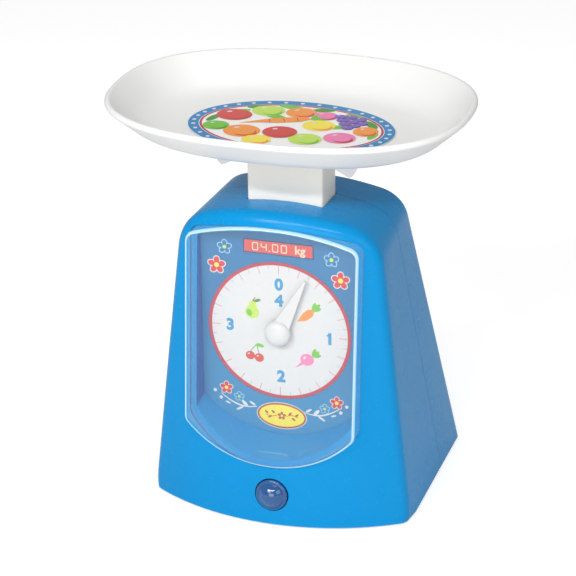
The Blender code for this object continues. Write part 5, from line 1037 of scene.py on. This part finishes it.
for drop in RACK_SCREW_DROPS:
    hole = (rack_x, -POST_HALF_DEPTH + 0.6 * MM, WEB_TOP - WEB - drop)
    add_rod(screw_holes, RACK_PILOT, hole, 6 * MM, "Y", 24)
tube = carve(tube, screw_holes)
settle(tube, "pan_post", [post_white], "weigh_head", ["post"])

# Pan: one thin white moulding, a rounded oblong bowl with a rolled lip, a socket skirt that drops
# into the post and four stiffening ribs underneath.
PAN_HALF_LENGTH = 92.7 * MM
PAN_HALF_DEPTH = 70.0 * MM
PAN_EXPONENT = 2.45
PAN_RIM = 218.4 * MM
PAN_DEPTH = 17.1 * MM
PAN_WALL = 2.0 * MM
PAN_FILLET = 24.0 * MM
PAN_LIP = 1.4 * MM
BEAD = 1.7 * MM
PAN_POINTS = 192
SKIRT_DEPTH = 9.0 * MM
SKIRT_WALL = 1.6 * MM
PAN_BOSS_RADIUS = 3.4 * MM
RIB_OFFSET = 9.0 * MM
RIB_HALF = 1.5 * MM
RIB_ROOT_DROP = 10.5 * MM
RIB_END = 43.0 * MM
RIB_TIP = ((32.0 * MM, 16.8 * MM), (33.5 * MM, 17.3 * MM), (35.0 * MM, 16.4 * MM))
pan_white = moulded_finish("pan_white", (0.77, 0.77, 0.76), (0.74, 0.74, 0.73), 0.36, coat=0.1,
                           coat_roughness=0.15)


def oblong(inset, height):
    """A closed row of points round the pan: an ellipse drawn out towards its corners."""
    places = []
    for k in range(PAN_POINTS):
        angle = 2 * math.pi * k / PAN_POINTS
        across, along = math.cos(angle), math.sin(angle)
        x = math.copysign(abs(across) ** (2 / PAN_EXPONENT), across) * (PAN_HALF_LENGTH - inset)
        y = math.copysign(abs(along) ** (2 / PAN_EXPONENT), along) * (PAN_HALF_DEPTH - inset)
        places.append(Vector((x, y, height)))
    return places


full_depth = PAN_DEPTH + PAN_WALL
run = full_depth - PAN_LIP
centre = (run + PAN_FILLET * math.tan(math.pi / 8), full_depth - PAN_FILLET)
profile = []
for k in range(13):
    angle = math.pi / 2 - math.pi / 4 * k / 12
    profile.append((centre[0] - PAN_FILLET * math.cos(angle), centre[1] + PAN_FILLET * math.sin(angle)))
for k in range(15):
    angle = math.radians(45 - 180 * k / 14)
    profile.append((BEAD - BEAD * math.cos(angle), BEAD + BEAD * math.sin(angle)))
inner_fillet = PAN_FILLET - PAN_WALL
for k in range(12, -1, -1):
    angle = math.pi / 2 - math.pi / 4 * k / 12
    profile.append((centre[0] - inner_fillet * math.cos(angle), centre[1] + inner_fillet * math.sin(angle)))
bowl = bmesh.new()
start = oblong(profile[0][0], PAN_RIM - profile[0][1])
chain = [bowl.verts.new(place) for place in start]
for pair in zip(chain, chain[1:] + chain[:1]):
    bowl.edges.new(pair)
bowl.faces.new(chain)
for inset, depth in profile[1:]:
    chain = draw_out(bowl, chain, oblong(inset, PAN_RIM - depth), closed=True)
bowl.faces.new(chain)
bmesh.ops.recalc_face_normals(bowl, faces=bowl.faces)
underside = PAN_RIM - full_depth
skirt = bmesh.new()
skirt_x, skirt_y = inner_x - FIT, inner_y - FIT
root_top = underside + PAN_WALL / 2
add_block(skirt, (-skirt_x, -skirt_y, underside - SKIRT_DEPTH), (skirt_x, skirt_y, root_top))
bowl = carve(bowl, skirt, "UNION")
skirt_hollow = bmesh.new()
add_block(skirt_hollow, (-skirt_x + SKIRT_WALL, -skirt_y + SKIRT_WALL, underside - SKIRT_DEPTH - MM),
          (skirt_x - SKIRT_WALL, skirt_y - SKIRT_WALL, underside))
bowl = carve(bowl, skirt_hollow)
rib_start = POST_HALF_WIDTH + 2 * FIT
rib_outline = [(rib_start, root_top), (rib_start, underside - RIB_ROOT_DROP)]
rib_outline += [(x, underside - drop) for x, drop in RIB_TIP]
rib_outline += [(RIB_END, underside), (RIB_END, root_top)]
for side in (-1, 1):
    boss = bmesh.new()
    boss_low = WEB_TOP + FIT
    add_rod(boss, PAN_BOSS_RADIUS, (side * PAN_SCREW_X, 0, boss_low), root_top - boss_low, "Z", 32)
    bowl = carve(bowl, boss, "UNION")
    pilot = bmesh.new()
    add_rod(pilot, PILOT_RADIUS, (side * PAN_SCREW_X, 0, WEB_TOP - MM), 10 * MM, "Z", 24)
    bowl = carve(bowl, pilot)
    for depth in (-RIB_OFFSET, RIB_OFFSET):
        rib = stretch_outline([(side * x, z) for x, z in rib_outline],
                              lambda x, z: Vector((x, depth - RIB_HALF, z)),
                              lambda x, z: Vector((x, depth + RIB_HALF, z)))
        bowl = carve(bowl, rib, "UNION")
settle(bowl, "weighing_pan", [pan_white], "weigh_head", ["pan"], crease=40.0)

# Pan sticker: an oval printed label on the pan's floor, blue dotted border, thin red line and plain
# fruit and vegetable pictures on white.
STICKER_LENGTH = 53.4 * MM
STICKER_DEPTH = 36.8 * MM
STICKER_BASE = PAN_RIM - PAN_DEPTH + 0.3 * MM
STICKER_THICKNESS = 0.25 * MM
BORDER_MIDDLE = 2.9 * MM
sheet = bmesh.new()
bmesh.ops.create_circle(sheet, cap_ends=True, segments=144, radius=1.0,
                        matrix=Matrix.Translation((0, 0, STICKER_BASE))
                        @ Matrix.Diagonal((STICKER_LENGTH, STICKER_DEPTH, 1, 1)))
grown = bmesh.ops.extrude_face_region(sheet, geom=sheet.faces[:])["geom"]
bmesh.ops.translate(sheet, vec=(0, 0, STICKER_THICKNESS),
                    verts=[item for item in grown if isinstance(item, bmesh.types.BMVert)])
bmesh.ops.recalc_face_normals(sheet, faces=sheet.faces)
sticker_white = ink_finish("sticker_white", (0.82, 0.815, 0.80), 0.35)
settle(sheet, "pan_sticker", [sticker_white], "weigh_head", ["pan_label"])

art = Print(Matrix.Translation((0, 0, STICKER_BASE + STICKER_THICKNESS)))
art.ring("border_blue", 1, 0, 0, STICKER_LENGTH - 0.2 * MM, STICKER_DEPTH - 0.2 * MM, 5.4 * MM)
art.ring("red", 1, 0, 0, STICKER_LENGTH - 6.0 * MM, STICKER_DEPTH - 6.0 * MM, 1.2 * MM)
for k in range(36):
    angle = 2 * math.pi * (k + 0.5) / 36
    art.disc("white", 2, math.cos(angle) * (STICKER_LENGTH - BORDER_MIDDLE),
             math.sin(angle) * (STICKER_DEPTH - BORDER_MIDDLE), 1.1 * MM, segments=16)


def fruit(u, v, across, up, ink, shade, layer):
    """A round fruit: body, darker side and a small pale highlight."""
    u, v, across, up = u * MM, v * MM, across * MM, up * MM
    art.disc(ink, layer, u, v, across, up)
    art.disc(shade, layer + 1, u + across * 0.28, v - up * 0.25, across * 0.62, up * 0.6)
    art.disc(ink, layer + 2, u + across * 0.1, v - up * 0.05, across * 0.64, up * 0.62)
    art.disc("white", layer + 3, u - across * 0.4, v + up * 0.42, across * 0.16, up * 0.1, 30, 16)


for u, v, across, up, turn, ink in ((-33, 14, 7, 2.8, 35, "green"), (-24, 23, 6.5, 2.6, 12, "leaf"),
                                    (-8, 27, 7, 2.6, -8, "green"), (9, 27, 6, 2.4, 14, "leaf"),
                                    (27, 22, 6, 2.6, -24, "green"), (38, 13, 6, 2.4, -50, "leaf"),
                                    (-42, 2, 5.5, 2.2, 75, "leaf"), (43, -2, 5, 2, 80, "green"),
                                    (-12, 12, 7, 2.8, -20, "green"), (24, 6, 6, 2.6, 30, "green")):
    art.disc(ink, 2, u * MM, v * MM, across * MM, up * MM, turn, 24)
for u, v, across, up, ink, shade, layer in (
        (-33, 9, 9.2, 8.0, "melon", "badge_red", 3), (-18, 19, 8.6, 7.4, "lime", "green", 4),
        (-1, 20.5, 8.0, 7.0, "orange", "melon", 3), (12, 19, 6.8, 6.0, "pink", "red", 4)):
    fruit(u, v, across, up, ink, shade, layer)
for u, v in ((20, 20), (25.4, 20.6), (30.8, 18.6), (22.4, 15.6), (28, 15), (33, 13.6), (25, 10.8),
             (30.2, 9.6), (27.6, 6)):
    fruit(u, v, 3.3, 3.1, "violet", "navy", layer=5)
carrot = [(-27, -2), (-18, 1.5), (-8, 3.4), (3, 8.2), (6.4, 12.4), (4, 15.4), (-1.6, 13.6), (-12, 9),
          (-20, 3.6)]
art.outline("orange", 5, [(u * MM, v * MM) for u, v in carrot])
for u, v, turn in ((0.2, 10.4, 115), (-6, 7.4, 118), (-13, 5.2, 112)):
    art.bar("badge_red", 6, u * MM, v * MM, 2.6 * MM, 0.22 * MM, turn)
for turn in (15, 42, 70):
    angle = math.radians(turn)
    leaf_u, leaf_v = 7 + 4.4 * math.cos(angle), 13 + 4.4 * math.sin(angle)
    art.disc("green", 4, leaf_u * MM, leaf_v * MM, 5.4 * MM, 1.9 * MM, turn, 24)
for u, v, across, up, ink, shade, layer in (
        (13, 5, 8.4, 7.4, "yellow", "orange", 5), (38, 3, 6.4, 6.6, "orange", "melon", 4),
        (-37, -8, 6.8, 6.2, "green", "leaf", 4), (-22, -12, 9.4, 8.4, "orange", "melon", 4),
        (-3, -9, 8.8, 8.0, "melon", "badge_red", 6), (12, -15, 8.4, 7.6, "lime", "green", 5),
        (28, -9, 8.2, 7.4, "pink", "red", 6), (-11, -22, 7.4, 6.2, "yellow", "orange", 7)):
    fruit(u, v, across, up, ink, shade, layer)
settle(art.bm, "pan_sticker_print", list(inks.values()), "weigh_head", [], crease=20.0)

# Finishes of the pieces below and inside: dark rubber feet, grey and natural plastic works, plated
# screws and spring, the board, the cells and their leads.
rubber = moulded_finish("foot_rubber_black", (0.025, 0.025, 0.028), (0.04, 0.04, 0.042), 0.75, grain=0.2)
works_grey = moulded_finish("works_grey", (0.16, 0.17, 0.18), (0.2, 0.21, 0.22), 0.5, grain=0.08)
acetal = moulded_finish("gear_acetal", (0.72, 0.68, 0.56), (0.66, 0.62, 0.5), 0.42, grain=0.03)
board_green = moulded_finish("board_solder_mask", (0.015, 0.16, 0.05), (0.02, 0.2, 0.07), 0.45, grain=0.05)
switch_black = moulded_finish("switch_black", (0.02, 0.02, 0.022), (0.03, 0.03, 0.03), 0.5, grain=0.06)
cell_sleeve = moulded_finish("cell_sleeve", (0.34, 0.29, 0.05), (0.4, 0.34, 0.06), 0.3, grain=0.02, coat=0.5)
lead_red_finish = moulded_finish("lead_red_sleeve", (0.45, 0.012, 0.01), (0.5, 0.02, 0.015), 0.4)
lead_black_finish = moulded_finish("lead_black_sleeve", (0.015, 0.015, 0.015), (0.025, 0.025, 0.025), 0.4)
lamp_clear = clear_finish("lamp_epoxy_clear", (0.8, 0.86, 0.9), 0.55, 0.08, 1.5)


def plated_finish():
    """Zinc-plated steel: fine drawn streaks and uneven shine."""
    finish, nodes, links, shader, place = new_finish("zinc_plate")
    stretch = nodes.new("ShaderNodeMapping")
    stretch.inputs["Scale"].default_value = (900.0, 900.0, 90.0)
    links.new(place, stretch.inputs["Vector"])
    streak = noise_pattern(nodes, links, stretch.outputs["Vector"], 1.0, 4.0)
    vary_gloss(nodes, links, shader, streak, 0.22, 0.42)
    blend_colour(nodes, links, shader, streak, (0.50, 0.50, 0.47), (0.62, 0.62, 0.60))
    shader.inputs["Metallic"].default_value = 1.0
    return finish


zinc = plated_finish()

# Main spring: a coil of plated steel wire that stands on the tower in the base and carries the post's stem.
# The real spring is squeezed shorter as the pan goes down; this coil keeps one length.
SPRING_RADIUS = 6.2 * MM
SPRING_WIRE = 0.55 * MM
SPRING_LOW = 10.5 * MM
SPRING_HIGH = 63.1 * MM
SPRING_TURNS = 7
TURN_STEPS = 40
coil = bmesh.new()
bmesh.ops.create_circle(coil, cap_ends=True, segments=16, radius=SPRING_WIRE,
                        matrix=Matrix.Translation((SPRING_RADIUS, 0, SPRING_LOW))
                        @ Matrix.Rotation(math.pi / 2, 4, "X"))
coil_steps = SPRING_TURNS * TURN_STEPS
bmesh.ops.spin(coil, geom=coil.verts[:] + coil.edges[:] + coil.faces[:], cent=(0, 0, 0), axis=(0, 0, 1),
               dvec=(0, 0, (SPRING_HIGH - SPRING_LOW) / coil_steps), angle=2 * math.pi * SPRING_TURNS,
               steps=coil_steps, use_merge=False)
bmesh.ops.recalc_face_normals(coil, faces=coil.faces)
spring = settle(coil, "spring_coil", [zinc], "housing", ["main_spring"], crease=60.0)
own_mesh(spring)

# The remaining pieces keep the shapes of their solids: the base and its door, the works, the board and
# its lamp, the cells and leads, feet and screws. Each is given its finish here.
kept = {"base_plate": housing_blue, "battery_door": housing_blue, "movement_plate": works_grey,
        "movement_bridge": works_grey, "compound_gear": acetal, "pointer_pinion": acetal, "rack": acetal,
        "circuit_board": board_green, "tact_switch": switch_black, "lead_red": lead_red_finish,
        "lead_black": lead_black_finish, "lamp": lamp_clear}
for name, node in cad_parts.items():
    if node.hide_render:
        continue
    if name.startswith("foot_"):
        finish = rubber
    elif name in ("battery_1", "battery_2"):
        finish = cell_sleeve
    else:
        finish = kept.get(name, zinc)
    for material_slot in node.material_slots:
        material_slot.material = finish

# Stage: a pale floor and soft studio light, and the camera where the photograph was taken from.
CAMERA_PLACE = Vector((0.3640, -1.1155, 0.6392))
CAMERA_YAW = math.radians(18.20)
CAMERA_PITCH = math.radians(24.13)
CAMERA_ROLL = math.radians(-0.79)
FOCAL_PIXELS = 2499.4
FRAME_PIXELS = 576

camera_data = bpy.data.cameras.new("photo_camera")
camera_data.sensor_width = 36.0
camera_data.lens = FOCAL_PIXELS / FRAME_PIXELS * camera_data.sensor_width
camera_data.clip_start = 0.05
camera = bpy.data.objects.new("photo_camera", camera_data)
forward = Vector((-math.sin(CAMERA_YAW) * math.cos(CAMERA_PITCH),
                  math.cos(CAMERA_YAW) * math.cos(CAMERA_PITCH), -math.sin(CAMERA_PITCH)))
level = Vector((math.cos(CAMERA_YAW), math.sin(CAMERA_YAW), 0.0))
upward = level.cross(forward)
right = level * math.cos(CAMERA_ROLL) + upward * math.sin(CAMERA_ROLL)
above = upward * math.cos(CAMERA_ROLL) - level * math.sin(CAMERA_ROLL)
camera.matrix_world = Matrix.Translation(CAMERA_PLACE + Vector((0, axis_y, 0))) @ Matrix(
    (right, above, -forward)).transposed().to_4x4()
bpy.context.scene.collection.objects.link(camera)
bpy.context.scene.camera = camera


def backdrop_finish():
    """Plain pale paper, lifted towards white only where the camera sees it."""
    finish, nodes, links, shader, place = new_finish("studio_paper")
    shader.inputs["Base Color"].default_value = (0.80, 0.80, 0.80, 1.0)
    shader.inputs["Roughness"].default_value = 0.9
    path = nodes.new("ShaderNodeLightPath")
    shader.inputs["Emission Color"].default_value = (1.0, 1.0, 1.0, 1.0)
    lift = nodes.new("ShaderNodeMath")
    lift.operation = "MULTIPLY"
    lift.inputs[1].default_value = 0.45
    links.new(path.outputs["Is Camera Ray"], lift.inputs[0])
    links.new(lift.outputs["Value"], shader.inputs["Emission Strength"])
    return finish


floor_mesh = bmesh.new()
bmesh.ops.create_grid(floor_mesh, x_segments=1, y_segments=1, size=3.0)
floor = mesh_object("studio_floor", floor_mesh)
floor.data.materials.append(backdrop_finish())

world = bpy.data.worlds.new("studio_world")
bpy.context.scene.world = world
world.use_nodes = True
sky = world.node_tree.nodes["Background"]
sky.inputs["Color"].default_value = (1.0, 1.0, 1.0, 1.0)
path = world.node_tree.nodes.new("ShaderNodeLightPath")
strength = world.node_tree.nodes.new("ShaderNodeMapRange")
strength.inputs["To Min"].default_value = 0.42
strength.inputs["To Max"].default_value = 1.0
world.node_tree.links.new(path.outputs["Is Camera Ray"], strength.inputs["Value"])
world.node_tree.links.new(strength.outputs["Result"], sky.inputs["Strength"])


def soft_light(name, place, aim, size, power):
    data = bpy.data.lights.new(name, "AREA")
    data.shape = "RECTANGLE"
    data.size, data.size_y = size
    data.energy = power
    light = bpy.data.objects.new(name, data)
    light.location = place
    light.rotation_euler = (Vector(aim) - Vector(place)).to_track_quat("-Z", "Y").to_euler()
    bpy.context.scene.collection.objects.link(light)


soft_light("key_light", (-0.35, -1.2, 0.85), (0, 0, 0.10), (0.6, 0.5), 4.5)
soft_light("front_light", (0.1, -1.5, 0.28), (0, 0, 0.12), (1.0, 0.5), 4.0)
soft_light("fill_light", (1.1, -0.7, 0.6), (0, 0, 0.10), (0.8, 0.6), 2.2)
soft_light("top_light", (0.2, 0.1, 1.4), (0, 0, 0.2), (0.9, 0.6), 3.0)
for number, (x, length, power) in enumerate(((-0.42, 0.30, 3.0), (-0.02, 0.16, 2.2), (0.36, 0.34, 3.6)), 1):
    soft_light(f"strip_light_{number}", (x, -1.0, 0.92), (0, 0, 0.15), (length, 0.04), power)

bpy.context.scene.view_settings.view_transform = "Standard"
